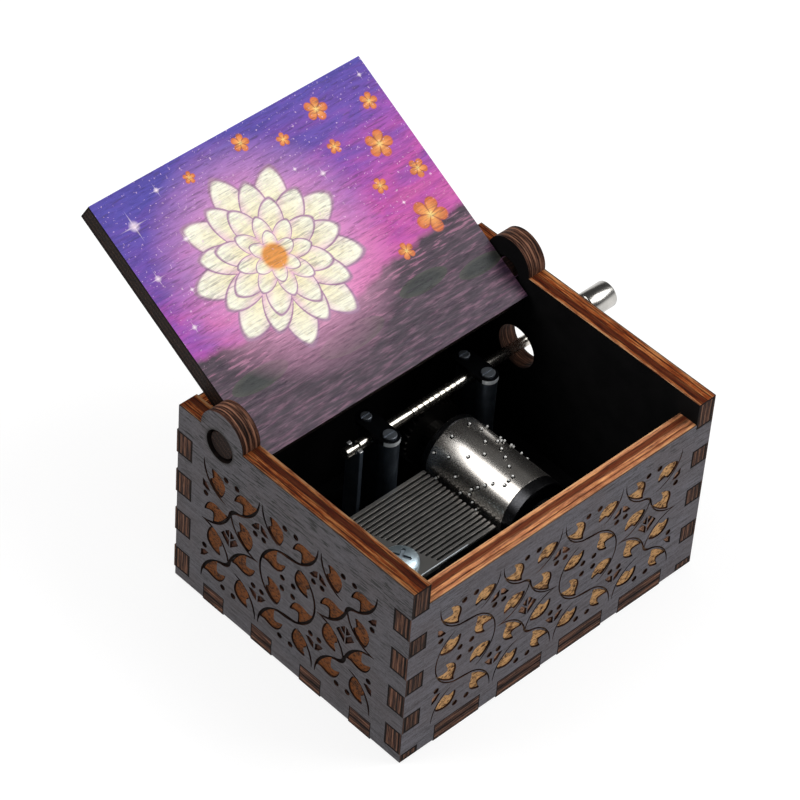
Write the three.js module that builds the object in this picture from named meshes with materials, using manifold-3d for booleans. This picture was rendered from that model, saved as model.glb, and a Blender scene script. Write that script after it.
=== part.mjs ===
// Hand-cranked music box: a finger-jointed plywood box with a pinned-cylinder movement.
// Millimetres, +Z up, X along the box with the crank at +X, the hinge at the back (+Y).
// The origin is the middle of the base panel's underside.

import * as THREE from 'three';
import { mergeVertices } from 'three/addons/utils/BufferGeometryUtils.js';
import Module from 'manifold-3d';

const wasm = await Module();
wasm.setup();

// Clearances and shared values
const running_gap = 0.3;
const overrun = 1;
const round_steps = 24;
const small_round_steps = 16;
const arc_steps = 12;
const full_turn = Math.PI * 2;
const square_corner = Math.PI / 2;

// Plywood box
const box_length = 64;
const box_depth = 51.4;
const ply = 3.6;
const finger_depth = 3.3;
const panel_height = 37.3;
const front_lip_gap = 0.7;

// Corner fingers of the front and back panels
const finger_count = 4;
const finger_gap_share = 0.7708;
const first_finger_drop = 5.35;
const last_finger_rise = 1.65;

// Tabs of the base panel
const side_tab_count = 4;
const side_tab_gap_share = 1.3229;
const side_tab_margin = 2.975;
const long_tab_count = 4;
const long_tab_gap_share = 0.3814;
const long_tab_margin = 3.45;

// Hinge ears and the lid
const hinge_inset = 9.3;
const ear_radius = 4.65;
const ear_rise = 4.95;
const ear_forward = 0.4;
const peg_width = 3.8;
const peg_recess = 0.4;
const lid_side_gap = 0.45;
const lid_front_inset = 0.8;
const lid_tail = 5.4;
const lid_open_lean = THREE.MathUtils.degToRad(29.3);

// Bedplate of the movement
const bedplate_length = 45;
const bedplate_thickness = 2;
const bedplate_corner = 3;
const bedplate_x = 0.5;
const movement_front_gap = 4.2;
const movement_rear_gap = 3.3;

// Cylinder and its arbor
const cylinder_x = 9.4;
const cylinder_lift = 9.9;
const cylinder_radius = 6;
const cylinder_wall = 0.6;
const rear_cap_thickness = 1;
const front_cap_thickness = 2;
const cap_spigot = 1.2;
const cap_step = 0.25;
const front_cap_lip = 0.5;
const arbor_end = 0.5;
const arbor_radius = 1;
const pin_share = 0.4;
const pin_stand = 0.4;
const pin_steps = 40;
const melody_track = 6;
const second_track = 11;
const melody_swing = 5;
const melody_waves = 3;

// Comb
const tooth_count = 18;
const slit_share = 0.311;
const comb_end_inset = 0.4;
const tip_gap = 0.75;
const comb_thickness = 1;
const tooth_thickness = 0.55;
const treble_tooth_length = 11.85;
const bass_tooth_length = 17.25;
const comb_length = 24.2;
const comb_drop = 0.2;
const weight_depth = 2.2;
const weight_length = 2.6;
const weighted_teeth = 6;
const weight_inset = 1.2;
const pad_inset = 0.9;

// Comb screws: distances from the comb's tips, and places and sizes as shares of the comb's width
const comb_head_share = 0.1852;
const comb_shank_share = 0.0802;
const comb_head_height = 1.5;
const comb_head_edge = 0.5;
const screw_depth = 6;
const treble_screw_back = 16.45;
const treble_screw_share = 0.2593;
const bass_screw_back = 20.85;
const bass_screw_share = 0.7346;
const cross_width = 0.7;
const cross_length = 3.4;
const cross_depth = 0.6;

// Worm wheel and worm
const wheel_teeth = 30;
const worm_pitch = 1.194;
const wheel_tooth_height = 0.45;
const wheel_width = 1.6;
const wheel_stand_off = 3.8;
const wheel_hub_radius = 2.4;
const mesh_gap = 0.14;
const worm_root_radius = 0.56;
const worm_length = 10.6;
const worm_end_gap = 0.4;
const thread_root_width = 0.5;
const thread_tip_width = 0.3;
const thread_sink = 0.2;
const tooth_root_share = 0.42;
const tooth_tip_share = 0.25;
const thread_steps = 16;
const worm_start_x = 3.9;

// Crank, knob and the shaft's end
const shaft_radius = 0.95;
const shaft_tail_x = -9.2;
const shaft_steps = 12;
const crank_stand_off = 1.6;
const crank_bend_radius = 1.5;
const crank_radius = 11.6;
const crank_angle = THREE.MathUtils.degToRad(127.5);
const bend_steps = 4;
const knob_radius = 2.3;
const knob_length = 5.6;
const knob_edge = 0.35;
const knob_cup_radius = 1.75;
const knob_cup_depth = 0.8;
const peened_radius = 1.4;
const peened_height = 0.4;
const crank_hole_radius = 3.95;

// Bearing stands, straps and the forked end plate
const left_stand_x = -2.5;
const right_stand_x = 18.9;
const front_post_radius = 1.4;
const rear_post_radius = 1.1;
const front_post_offset = 3;
const rear_post_offset = 2.4;
const stand_web = 1.8;
const strap_radius = 1.6;
const strap_thickness = 0.8;
const strap_screw_radius = 0.4;
const strap_screw_depth = 3;
const front_head_radius = 1.2;
const rear_head_radius = 0.95;
const head_height = 0.45;
const head_edge = 0.12;
const screw_slot_width = 0.3;
const screw_slot_depth = 0.2;
const stand_foot = 1;
const stand_foot_edge = 0.5;
const fork_x = -7;
const fork_width = 3.2;
const fork_thickness = 0.8;
const fork_rise = 0.3;
const fork_foot = 4;
const neck_radius = 0.6;

// Arbor brackets
const bracket_thickness = 1.4;
const bracket_width = 7;
const bracket_foot = 4;
const bracket_gap = 0.4;
const bracket_screw_radius = 0.8;
const bracket_head_radius = 1.4;
const bracket_head_height = 0.9;
const bracket_screw_depth = 1.2;

// Screws that hold the movement on the base panel
const base_screw_radius = 1.1;
const base_head_radius = 2.4;
const base_head_depth = 1.4;
const base_head_sink = 0.2;
const base_screw_end = 0.5;
const base_screw_inset = 3.2;

// Places worked out from the sizes above
const half_length = box_length / 2;
const inner_x = half_length - ply;
const panel_foot = ply - finger_depth;
const panel_top = panel_foot + panel_height;
const front_y = -box_depth / 2;
const front_inner_y = front_y + ply;
const side_back_y = box_depth / 2;
const back_inner_y = side_back_y - finger_depth;
const back_y = back_inner_y + ply;
const hinge_y = side_back_y - hinge_inset;
const hinge_z = panel_top - ply / 2;
const ear_y = hinge_y - ear_forward;
const hinge_hole_radius = Math.hypot(ply, peg_width) / 2 + running_gap;
const front_top = panel_top - ply - front_lip_gap;
const lid_half_width = inner_x - lid_side_gap;
const lid_reach = box_depth - hinge_inset - lid_front_inset;
const peg_end = half_length - peg_recess;
const back_top = hinge_z + (back_inner_y - hinge_y) * Math.tan(lid_open_lean)
  - (ply / 2 + running_gap) / Math.cos(lid_open_lean);

const bed_top = ply + bedplate_thickness;
const cylinder_z = bed_top + cylinder_lift;
const bed_front_y = front_inner_y + movement_front_gap;
const bed_rear_y = back_inner_y - movement_rear_gap;
const front_bracket_y = bed_front_y + bracket_foot + bracket_thickness;
const rear_bracket_y = bed_rear_y - bracket_foot - bracket_thickness;
const wheel_rear_y = rear_bracket_y - bracket_gap;
const wheel_front_y = wheel_rear_y - wheel_width;
const shaft_y = wheel_rear_y - wheel_width / 2;
const front_cap_y = front_bracket_y + bracket_gap;
const rear_cap_y = wheel_front_y - wheel_stand_off;
const cylinder_front_y = front_cap_y + front_cap_thickness;
const cylinder_rear_y = rear_cap_y - rear_cap_thickness;
const cylinder_length = cylinder_rear_y - cylinder_front_y;
const wheel_pitch_radius = wheel_teeth * worm_pitch / full_turn;
const wheel_tip_radius = wheel_pitch_radius + wheel_tooth_height / 2;
const wheel_root_radius = wheel_pitch_radius - wheel_tooth_height / 2;
const worm_axis_height = wheel_tip_radius + mesh_gap + worm_root_radius;
const worm_tip_radius = worm_axis_height - wheel_root_radius - mesh_gap;
const shaft_z = cylinder_z + worm_axis_height;

const comb_width = cylinder_length - comb_end_inset * 2;
const tooth_pitch = comb_width / tooth_count;
const slit_width = tooth_pitch * slit_share;
const pin_width = tooth_pitch * pin_share;
const comb_head_radius = comb_width * comb_head_share;
const comb_screw_radius = comb_width * comb_shank_share;
const comb_top = cylinder_z - comb_drop + tooth_thickness / 2;
const comb_bottom = comb_top - comb_thickness;
const tip_x = cylinder_x - cylinder_radius - tip_gap;
const comb_back_x = tip_x - comb_length;
const comb_front_y = cylinder_front_y + comb_end_inset;
const comb_rear_y = comb_front_y + comb_width;

const root_x = (share) => tip_x - THREE.MathUtils.lerp(treble_tooth_length, bass_tooth_length, share);
const comb_screws = [
  [tip_x - treble_screw_back, comb_front_y + comb_width * treble_screw_share],
  [tip_x - bass_screw_back, comb_front_y + comb_width * bass_screw_share],
];

const worm_end_x = worm_start_x + worm_length;
const crank_arm_x = half_length + crank_stand_off;
const knob_x = crank_arm_x + crank_bend_radius + running_gap;
const knob_y = shaft_y + crank_radius * Math.cos(crank_angle);
const knob_z = shaft_z + crank_radius * Math.sin(crank_angle);
const pin_end_x = knob_x + knob_length - knob_cup_depth + running_gap + peened_height;
const strap_bottom = shaft_z + shaft_radius + running_gap;
const strap_top = strap_bottom + strap_thickness;
const post_places = [
  [shaft_y - front_post_offset, front_post_radius],
  [shaft_y + rear_post_offset, rear_post_radius],
];
const bore_radius = arbor_radius + running_gap;
const bracket_screws = [
  [cylinder_x, front_bracket_y - bracket_thickness - bracket_foot / 2],
  [cylinder_x, rear_bracket_y + bracket_thickness + bracket_foot / 2],
  [fork_x - fork_thickness / 2 - fork_foot / 2, shaft_y],
];
const bed_low = [bedplate_x - bedplate_length / 2, bed_front_y];
const bed_high = [bedplate_x + bedplate_length / 2, bed_rear_y];
const base_screws = [
  [bed_low[0] + base_screw_inset, bed_low[1] + base_screw_inset],
  [bed_high[0] - base_screw_inset, bed_low[1] + base_screw_inset],
  [bed_low[0] + base_screw_inset, bed_high[1] - base_screw_inset],
];

// Finishes
const finish = (color, roughness, metalness) => new THREE.MeshStandardMaterial({ color, roughness, metalness });
const stained_ply = () => finish(0x4a464c, 0.75, 0);
const printed_ply = () => finish(0x5a4a78, 0.55, 0);
const black_casting = () => finish(0x16171a, 0.5, 0.6);
const comb_steel = () => finish(0x4b4a48, 0.35, 1);
const nickel = () => finish(0xb9b4ac, 0.22, 1);
const zinc = () => finish(0xa9b4ba, 0.35, 1);
const blued_steel = () => finish(0x3a4148, 0.35, 1);

// Solids and cuts
function solid(geometry, matrix) {
  const bare = geometry.clone();
  if (matrix) bare.applyMatrix4(matrix);
  bare.deleteAttribute('normal');
  bare.deleteAttribute('uv');
  const merged = mergeVertices(bare);
  const corners = Array.from(merged.index.array);
  const faces = [];
  for (let i = 0; i < corners.length; i += 3) {
    const face = corners.slice(i, i + 3);
    if (new Set(face).size === face.length) faces.push(...face);
  }
  return new wasm.Manifold(new wasm.Mesh({
    numProp: 3,
    vertProperties: new Float32Array(merged.attributes.position.array),
    triVerts: new Uint32Array(faces),
  }));
}

function geometryOf(body) {
  const mesh = body.getMesh();
  const geometry = new THREE.BufferGeometry();
  geometry.setAttribute('position', new THREE.BufferAttribute(mesh.vertProperties, mesh.numProp));
  geometry.setIndex(new THREE.BufferAttribute(mesh.triVerts, 1));
  const faceted = geometry.toNonIndexed();
  faceted.computeVertexNormals();
  return faceted;
}

function named(name, body, material) {
  const mesh = new THREE.Mesh(geometryOf(body), material);
  mesh.name = name;
  return mesh;
}

// Frames that carry a flat outline into its plane: the outline's own x and y, then its depth
const basis = (x, y, z, place) => new THREE.Matrix4().makeBasis(x, y, z).setPosition(place);
const unit_x = new THREE.Vector3(1, 0, 0);
const unit_y = new THREE.Vector3(0, 1, 0);
const unit_z = new THREE.Vector3(0, 0, 1);
const along_x = (x, y = 0, z = 0) => basis(unit_y, unit_z, unit_x, new THREE.Vector3(x, y, z));
const along_y = (y, x = 0, z = 0) => basis(unit_z, unit_x, unit_y, new THREE.Vector3(x, y, z));
const along_z = (z, x = 0, y = 0) => basis(unit_x, unit_y, unit_z, new THREE.Vector3(x, y, z));
const forward = (y) => basis(unit_x, unit_z, unit_y.clone().negate(), new THREE.Vector3(0, y, 0));

function plate(shape, depth, matrix, curveSegments = arc_steps) {
  return solid(new THREE.ExtrudeGeometry(shape, { depth, bevelEnabled: false, curveSegments }), matrix);
}

function outline(points) {
  return new THREE.Shape(points.map(([a, b]) => new THREE.Vector2(a, b)));
}

function block(low, high) {
  const size = high.map((value, i) => value - low[i]);
  const middle = high.map((value, i) => (value + low[i]) / 2);
  return solid(new THREE.BoxGeometry(...size), new THREE.Matrix4().setPosition(...middle));
}

// A turned piece: profile points of radius and height, revolved about the frame's depth axis
function turned(profile, matrix, steps = round_steps) {
  const points = profile.map(([r, h]) => new THREE.Vector2(r, h));
  const lathe = new THREE.LatheGeometry(points, steps);
  lathe.rotateX(square_corner);
  return solid(lathe, matrix);
}

function rod(radius, length, matrix, steps = round_steps) {
  return turned([[0, 0], [radius, 0], [radius, length], [0, length]], matrix, steps);
}

function tube(outer, inner, length, matrix, steps = round_steps) {
  const profile = [[inner, 0], [outer, 0], [outer, length], [inner, length], [inner, 0]];
  return turned(profile, matrix, steps);
}

const joined = (bodies) => bodies.reduce((whole, body) => whole.add(body));
const without = (body, cuts) => cuts.reduce((rest, cut) => rest.subtract(cut), body);

// Spans of tabs or fingers that fill a length evenly, each gap a given share of their width
function evenSpans(count, gap_share, low, high) {
  const width = (high - low) / (count + (count - 1) * gap_share);
  return Array.from({ length: count }, (_, i) => {
    const start = low + i * width * (1 + gap_share);
    return [start, start + width];
  });
}

const finger_foot = panel_foot + last_finger_rise;
const finger_spans = evenSpans(finger_count, finger_gap_share, finger_foot, panel_top - first_finger_drop);
const side_tab_reach = front_inner_y + side_tab_margin;
const side_tabs = evenSpans(side_tab_count, side_tab_gap_share, side_tab_reach, -side_tab_reach);
const long_tab_reach = inner_x - long_tab_margin;
const long_tabs = evenSpans(long_tab_count, long_tab_gap_share, -long_tab_reach, long_tab_reach);

// Points along one edge that steps from its base line to another level over each span
function steppedEdge(spans, level, stepped) {
  return spans.flatMap(([start, end]) => [[start, level], [start, stepped], [end, stepped], [end, level]]);
}

const swapped = (points) => points.map(([a, b]) => [b, a]);
const reversed = (points) => [...points].reverse();

// Side panel, drawn in Y and Z: notched for the fingers and tabs, with the hinge ear on top
function sidePanelShape(crank_hole) {
  const ear_foot = Math.sqrt(ear_radius ** 2 - (ear_radius - ear_rise) ** 2);
  const ear_z = panel_top + ear_rise - ear_radius;
  const start = Math.atan2(panel_top - ear_z, ear_foot);
  const shape = outline([
    [front_y, panel_foot],
    ...steppedEdge(side_tabs, panel_foot, ply),
    [side_back_y, panel_foot],
    ...swapped(steppedEdge(finger_spans, side_back_y, back_inner_y)),
    [side_back_y, panel_top],
    [ear_y + ear_foot, panel_top],
  ]);
  shape.absarc(ear_y, ear_z, ear_radius, start, Math.PI - start, false);
  shape.lineTo(front_y, panel_top);
  for (const [y, z] of reversed(swapped(steppedEdge(finger_spans, front_y, front_inner_y)))) shape.lineTo(y, z);
  const holes = [[hinge_y, hinge_z, hinge_hole_radius]];
  if (crank_hole) holes.push([shaft_y, shaft_z, crank_hole_radius]);
  for (const [y, z, radius] of holes) {
    const hole = new THREE.Path();
    hole.absarc(y, z, radius, 0, full_turn, true);
    shape.holes.push(hole);
  }
  return shape;
}

// Front and back panel, drawn in X and Z
function longPanelShape(top) {
  return outline([
    ...steppedEdge(long_tabs, panel_foot, ply),
    [inner_x, panel_foot],
    ...swapped(steppedEdge(finger_spans, inner_x, half_length)),
    [inner_x, top],
    [-inner_x, top],
    ...reversed(swapped(steppedEdge(finger_spans, -inner_x, -half_length))),
    [-inner_x, panel_foot],
  ]);
}

function basePanelShape() {
  return outline([
    [-inner_x, front_inner_y],
    ...steppedEdge(long_tabs, front_inner_y, front_y),
    [inner_x, front_inner_y],
    ...swapped(steppedEdge(side_tabs, inner_x, half_length)),
    [inner_x, back_inner_y],
    ...reversed(steppedEdge(long_tabs, back_inner_y, back_y)),
    [-inner_x, back_inner_y],
    ...reversed(swapped(steppedEdge(side_tabs, -inner_x, -half_length))),
  ]);
}

// The lid's board with its two pegs, drawn along the hinge and away from it
function lidShape() {
  const peg = peg_width / 2;
  return outline([
    [-lid_half_width, -lid_tail],
    [lid_half_width, -lid_tail],
    ...swapped(steppedEdge([[-peg, peg]], lid_half_width, peg_end)),
    [lid_half_width, lid_reach],
    [-lid_half_width, lid_reach],
    ...reversed(swapped(steppedEdge([[-peg, peg]], -lid_half_width, -peg_end))),
  ]);
}

function lid() {
  const away = new THREE.Vector3(0, Math.cos(lid_open_lean), Math.sin(lid_open_lean));
  const inward = new THREE.Vector3().crossVectors(unit_x, away);
  const place = new THREE.Vector3(0, hinge_y, hinge_z).addScaledVector(inward, -ply / 2);
  return plate(lidShape(), ply, basis(unit_x, away, inward, place));
}

// A screw standing in Z: its shank below the seat and its head above
function screw([x, y], seat, shank, depth, head, height, edge) {
  const profile = [[0, -depth], [shank, -depth], [shank, 0], [head, 0], [head, height - edge]];
  profile.push([head - edge, height], [0, height]);
  return turned(profile, along_z(seat, x, y), small_round_steps);
}

const slotCut = ([x, y], top, length, width, depth) => block(
  [x - length / 2, y - width / 2, top - depth],
  [x + length / 2, y + width / 2, top + overrun],
);

function basePanel() {
  const cuts = base_screws.map(([x, y]) => turned([
    [0, -overrun],
    [base_head_radius + running_gap, -overrun],
    [base_head_radius + running_gap, base_head_sink + running_gap],
    [base_screw_radius + running_gap, base_head_sink + running_gap + base_head_depth],
    [base_screw_radius + running_gap, ply + overrun],
    [0, ply + overrun],
  ], along_z(0, x, y), small_round_steps));
  return without(plate(basePanelShape(), ply, along_z(0)), cuts);
}

function baseScrew([x, y]) {
  const slope = base_head_sink + base_head_depth;
  const profile = [[0, base_head_sink], [base_head_radius, base_head_sink]];
  profile.push([base_screw_radius, slope], [base_screw_radius, bed_top - base_screw_end], [0, bed_top - base_screw_end]);
  const body = turned(profile, along_z(0, x, y), small_round_steps);
  return without(body, [slotCut([x, y], base_head_sink + screw_slot_depth, base_head_radius * 4, screw_slot_width, overrun)]);
}

// Bedplate: a rounded casting with the tall pad that carries the comb
function bedplate() {
  const [[low_x, low_y], [high_x, high_y]] = [bed_low, bed_high];
  const r = bedplate_corner;
  const shape = new THREE.Shape();
  shape.absarc(high_x - r, high_y - r, r, 0, square_corner, false);
  shape.absarc(low_x + r, high_y - r, r, square_corner, square_corner * 2, false);
  shape.absarc(low_x + r, low_y + r, r, square_corner * 2, square_corner * 3, false);
  shape.absarc(high_x - r, low_y + r, r, square_corner * 3, full_turn, false);
  const pad = outline([
    [comb_back_x, comb_front_y],
    [root_x(0) - pad_inset, comb_front_y],
    [root_x(1) - pad_inset, comb_rear_y],
    [comb_back_x, comb_rear_y],
  ]);
  const hole = (radius, place, floor, top) => rod(
    radius + running_gap, top - floor, along_z(floor, ...place), small_round_steps,
  );
  const cuts = [
    ...comb_screws.map((place) => hole(comb_screw_radius, place, comb_top - screw_depth - running_gap, comb_top)),
    ...base_screws.map((place) => hole(base_screw_radius, place, 0, bed_top + overrun)),
    ...bracket_screws.map((place) => hole(
      bracket_screw_radius, place, bed_top - bracket_screw_depth - running_gap, bed_top + overrun,
    )),
  ];
  return without(joined([
    plate(shape, bedplate_thickness, along_z(ply), small_round_steps / 4),
    plate(pad, comb_bottom - ply, along_z(ply)),
  ]), cuts);
}

// Stadium outline about two points in line along Y
function stadium(x, start, end, radius) {
  const shape = new THREE.Shape();
  shape.absarc(x, end, radius, 0, Math.PI, false);
  shape.absarc(x, start, radius, Math.PI, full_turn, false);
  return shape;
}

function bearingStand(x) {
  const [[front_post_y, front_r], [rear_post_y, rear_r]] = post_places;
  const foot = stadium(x, front_post_y, rear_post_y, front_post_radius + stand_foot_edge);
  const hole_depth = strap_screw_depth - strap_thickness + running_gap;
  const hole = ([y]) => rod(
    strap_screw_radius + running_gap, hole_depth + overrun, along_z(strap_bottom - hole_depth, x, y), small_round_steps,
  );
  return without(joined([
    plate(foot, stand_foot, along_z(bed_top), small_round_steps / 2),
    rod(front_r, strap_bottom - bed_top, along_z(bed_top, x, front_post_y), small_round_steps),
    rod(rear_r, strap_bottom - bed_top, along_z(bed_top, x, rear_post_y), small_round_steps),
    block([x - stand_web / 2, front_post_y, bed_top], [x + stand_web / 2, rear_post_y, shaft_z]),
  ]), [
    rod(shaft_radius + running_gap, stand_web + overrun, along_x(x - (stand_web + overrun) / 2, shaft_y, shaft_z)),
    ...post_places.map(hole),
  ]);
}

function strap(x) {
  const [[front_post_y], [rear_post_y]] = post_places;
  const shape = stadium(x, front_post_y, rear_post_y, strap_radius);
  for (const [y] of post_places) {
    const hole = new THREE.Path();
    hole.absarc(x, y, strap_screw_radius + running_gap, 0, full_turn, true);
    shape.holes.push(hole);
  }
  return plate(shape, strap_thickness, along_z(strap_bottom), small_round_steps / 2);
}

function strapScrew(x, y, head) {
  const body = screw([x, y], strap_top, strap_screw_radius, strap_screw_depth, head, head_height, head_edge);
  const slot = slotCut([x, y], strap_top + head_height, head * 4, screw_slot_width, screw_slot_depth);
  return without(body, [slot]);
}

// Forked strip that keeps the shaft from sliding along: its slot straddles the shaft's neck
function shaftFork() {
  const left = fork_x - fork_thickness / 2;
  const right = fork_x + fork_thickness / 2;
  const near = shaft_y - fork_width / 2;
  const far = shaft_y + fork_width / 2;
  const slot = neck_radius + running_gap;
  const [place_x, place_y] = bracket_screws[2];
  return without(joined([
    block([left, near, bed_top], [right, far, shaft_z + fork_rise]),
    block([left - fork_foot, near, bed_top], [right, far, bed_top + fork_thickness]),
  ]), [
    block([left - overrun, shaft_y - slot, shaft_z - slot], [right + overrun, shaft_y + slot, shaft_z + overrun]),
    rod(bracket_screw_radius + running_gap, ply, along_z(bed_top - overrun, place_x, place_y), small_round_steps),
  ]);
}

function bracket(inner_y, side, place) {
  const half = bracket_width / 2;
  const outer_y = inner_y + side * bracket_thickness;
  const end_y = outer_y + side * bracket_foot;
  const shape = outline([[cylinder_x - half, bed_top], [cylinder_x + half, bed_top]]);
  shape.lineTo(cylinder_x + half, cylinder_z);
  shape.absarc(cylinder_x, cylinder_z, half, 0, Math.PI, false);
  shape.lineTo(cylinder_x - half, bed_top);
  const hole = new THREE.Path();
  hole.absarc(cylinder_x, cylinder_z, bore_radius, 0, full_turn, true);
  shape.holes.push(hole);
  return without(joined([
    plate(shape, bracket_thickness, forward(Math.max(inner_y, outer_y)), small_round_steps / 2),
    block(
      [cylinder_x - half, Math.min(inner_y, end_y), bed_top],
      [cylinder_x + half, Math.max(inner_y, end_y), bed_top + bracket_thickness],
    ),
  ]), [rod(bracket_screw_radius + running_gap, ply, along_z(bed_top - overrun, ...place), small_round_steps)]);
}

function bracketScrew(place, thickness) {
  const seat = bed_top + thickness;
  const depth = thickness + bracket_screw_depth;
  const body = screw(place, seat, bracket_screw_radius, depth, bracket_head_radius, bracket_head_height, head_edge);
  const slot = slotCut(place, seat + bracket_head_height, bracket_head_radius * 4, screw_slot_width, screw_slot_depth);
  return without(body, [slot]);
}

// Comb: a steel plate cut into teeth, thinned below, its longest teeth weighted near their tips
function comb() {
  const teeth = Array.from({ length: tooth_count }, (_, i) => {
    const front = comb_front_y + i * tooth_pitch;
    const low = i === 0 ? front : front + slit_width / 2;
    const high = i === tooth_count - 1 ? front + tooth_pitch : front + tooth_pitch - slit_width / 2;
    return { low, high, before: root_x((i - 1) / (tooth_count - 2)), after: root_x(i / (tooth_count - 2)) };
  });
  const points = [[comb_back_x, comb_rear_y], [comb_back_x, comb_front_y]];
  teeth.forEach(({ low, high, before, after }, i) => {
    if (i > 0) points.push([before, low]);
    points.push([tip_x, low], [tip_x, high]);
    if (i < tooth_count - 1) points.push([after, high]);
  });
  const thinned = outline([
    [root_x(0), comb_front_y - overrun],
    [tip_x + overrun, comb_front_y - overrun],
    [tip_x + overrun, comb_rear_y + overrun],
    [root_x(1), comb_rear_y + overrun],
  ]);
  const weights = teeth.slice(tooth_count - weighted_teeth).map(({ low, high }) => block(
    [tip_x - weight_length - weight_inset, low, comb_top - tooth_thickness - weight_depth],
    [tip_x - weight_inset, high, comb_top - tooth_thickness / 2],
  ));
  const holes = comb_screws.map((place) => rod(
    comb_screw_radius + running_gap, comb_thickness + overrun * 2, along_z(comb_bottom - overrun, ...place), small_round_steps,
  ));
  return joined([without(plate(outline(points), comb_thickness, along_z(comb_bottom)), [
    plate(thinned, comb_thickness - tooth_thickness + overrun, along_z(comb_bottom - overrun)),
    ...holes,
  ]), ...weights]);
}

function combScrew(place) {
  const body = screw(place, comb_top, comb_screw_radius, screw_depth, comb_head_radius, comb_head_height, comb_head_edge);
  const top = comb_top + comb_head_height;
  return without(body, [
    slotCut(place, top, cross_length, cross_width, cross_depth),
    slotCut(place, top, cross_width, cross_length, cross_depth),
  ]);
}

// Tracks that sound at one step of the tune: a melody, a second voice and a slow bass
function tracksAt(step) {
  const phase = full_turn * step / pin_steps;
  const tracks = [Math.round(melody_track + melody_swing * Math.sin(phase * melody_waves) * Math.cos(phase))];
  if (step % 2 === 0) tracks.push(Math.round(second_track + melody_swing / 2 * Math.sin(phase * (melody_waves + 2))));
  if (step % 4 === 1) tracks.push(tooth_count - 1 - (step % 3));
  return [...new Set(tracks)];
}

function pinnedCylinder() {
  const inner = cylinder_radius - cylinder_wall;
  const barrel = tube(
    cylinder_radius, inner, cylinder_length, along_y(cylinder_front_y, cylinder_x, cylinder_z), pin_steps,
  );
  const flat_radius = cylinder_radius * Math.cos(Math.PI / pin_steps);
  const foot_radius = flat_radius - cylinder_wall / 2;
  const pin_length = flat_radius + pin_stand - foot_radius;
  const pins = Array.from({ length: pin_steps }, (_, step) => tracksAt(step).map((track) => {
    const turn = (step + 1 / 2) * full_turn / pin_steps;
    const box = new THREE.BoxGeometry(pin_width, pin_width, pin_length);
    const place = new THREE.Matrix4().makeTranslation(cylinder_x, comb_front_y + (track + 1 / 2) * tooth_pitch, cylinder_z);
    place.multiply(new THREE.Matrix4().makeRotationY(turn));
    place.multiply(new THREE.Matrix4().makeTranslation(0, 0, foot_radius + pin_length / 2));
    return solid(box, place);
  })).flat();
  return joined([barrel, ...pins]);
}

function frontCap() {
  const spigot = cylinder_radius - cylinder_wall - running_gap;
  const rim = cylinder_radius - front_cap_lip;
  return turned([
    [bore_radius, cap_step],
    [rim, cap_step],
    [rim, 0],
    [cylinder_radius, 0],
    [cylinder_radius, front_cap_thickness],
    [spigot, front_cap_thickness],
    [spigot, front_cap_thickness + cap_spigot],
    [bore_radius, front_cap_thickness + cap_spigot],
    [bore_radius, cap_step],
  ], along_y(front_cap_y, cylinder_x, cylinder_z), pin_steps);
}

function rearCap() {
  const spigot = cylinder_radius - cylinder_wall - running_gap;
  return turned([
    [bore_radius, 0],
    [spigot, 0],
    [spigot, cap_spigot],
    [cylinder_radius, cap_spigot],
    [cylinder_radius, cap_spigot + rear_cap_thickness],
    [bore_radius, cap_spigot + rear_cap_thickness],
    [bore_radius, 0],
  ], along_y(cylinder_rear_y - cap_spigot, cylinder_x, cylinder_z), pin_steps);
}

function arbor() {
  const start = front_bracket_y - bracket_thickness - arbor_end;
  const end = rear_bracket_y + bracket_thickness + arbor_end;
  return rod(arbor_radius, end - start, along_y(start, cylinder_x, cylinder_z), small_round_steps);
}

// Worm wheel: its teeth lean with the worm's thread, and a gap stands on top at the middle of its width
function wormWheel() {
  const step = full_turn / wheel_teeth;
  const lean = worm_pitch / full_turn / ((worm_root_radius + worm_tip_radius) / 2);
  const twist = wheel_width * lean / wheel_pitch_radius;
  const points = Array.from({ length: wheel_teeth }, (_, i) => {
    const centre = (i + 1 / 2) * step - twist / 2;
    const root = step * tooth_root_share / 2;
    const tip = step * tooth_tip_share / 2;
    const corners = [[-root, wheel_root_radius], [-tip, wheel_tip_radius], [tip, wheel_tip_radius], [root, wheel_root_radius]];
    return corners.map(([turn, radius]) => [radius * Math.cos(centre + turn), radius * Math.sin(centre + turn)]);
  }).flat();
  const toothed = new THREE.ExtrudeGeometry(outline(points), { depth: wheel_width, bevelEnabled: false });
  const place = toothed.attributes.position;
  for (let i = 0; i < place.count; i += 1) {
    const turn = twist * place.getZ(i) / wheel_width;
    const [a, b] = [place.getX(i), place.getY(i)];
    place.setXY(i, a * Math.cos(turn) - b * Math.sin(turn), a * Math.sin(turn) + b * Math.cos(turn));
  }
  const hub_y = rear_cap_y;
  return without(joined([
    solid(toothed, along_y(wheel_front_y, cylinder_x, cylinder_z)),
    rod(wheel_hub_radius, shaft_y - hub_y, along_y(hub_y, cylinder_x, cylinder_z), round_steps),
  ]), [
    rod(bore_radius, wheel_rear_y - hub_y + overrun * 2, along_y(hub_y - overrun, cylinder_x, cylinder_z), small_round_steps),
  ]);
}

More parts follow.
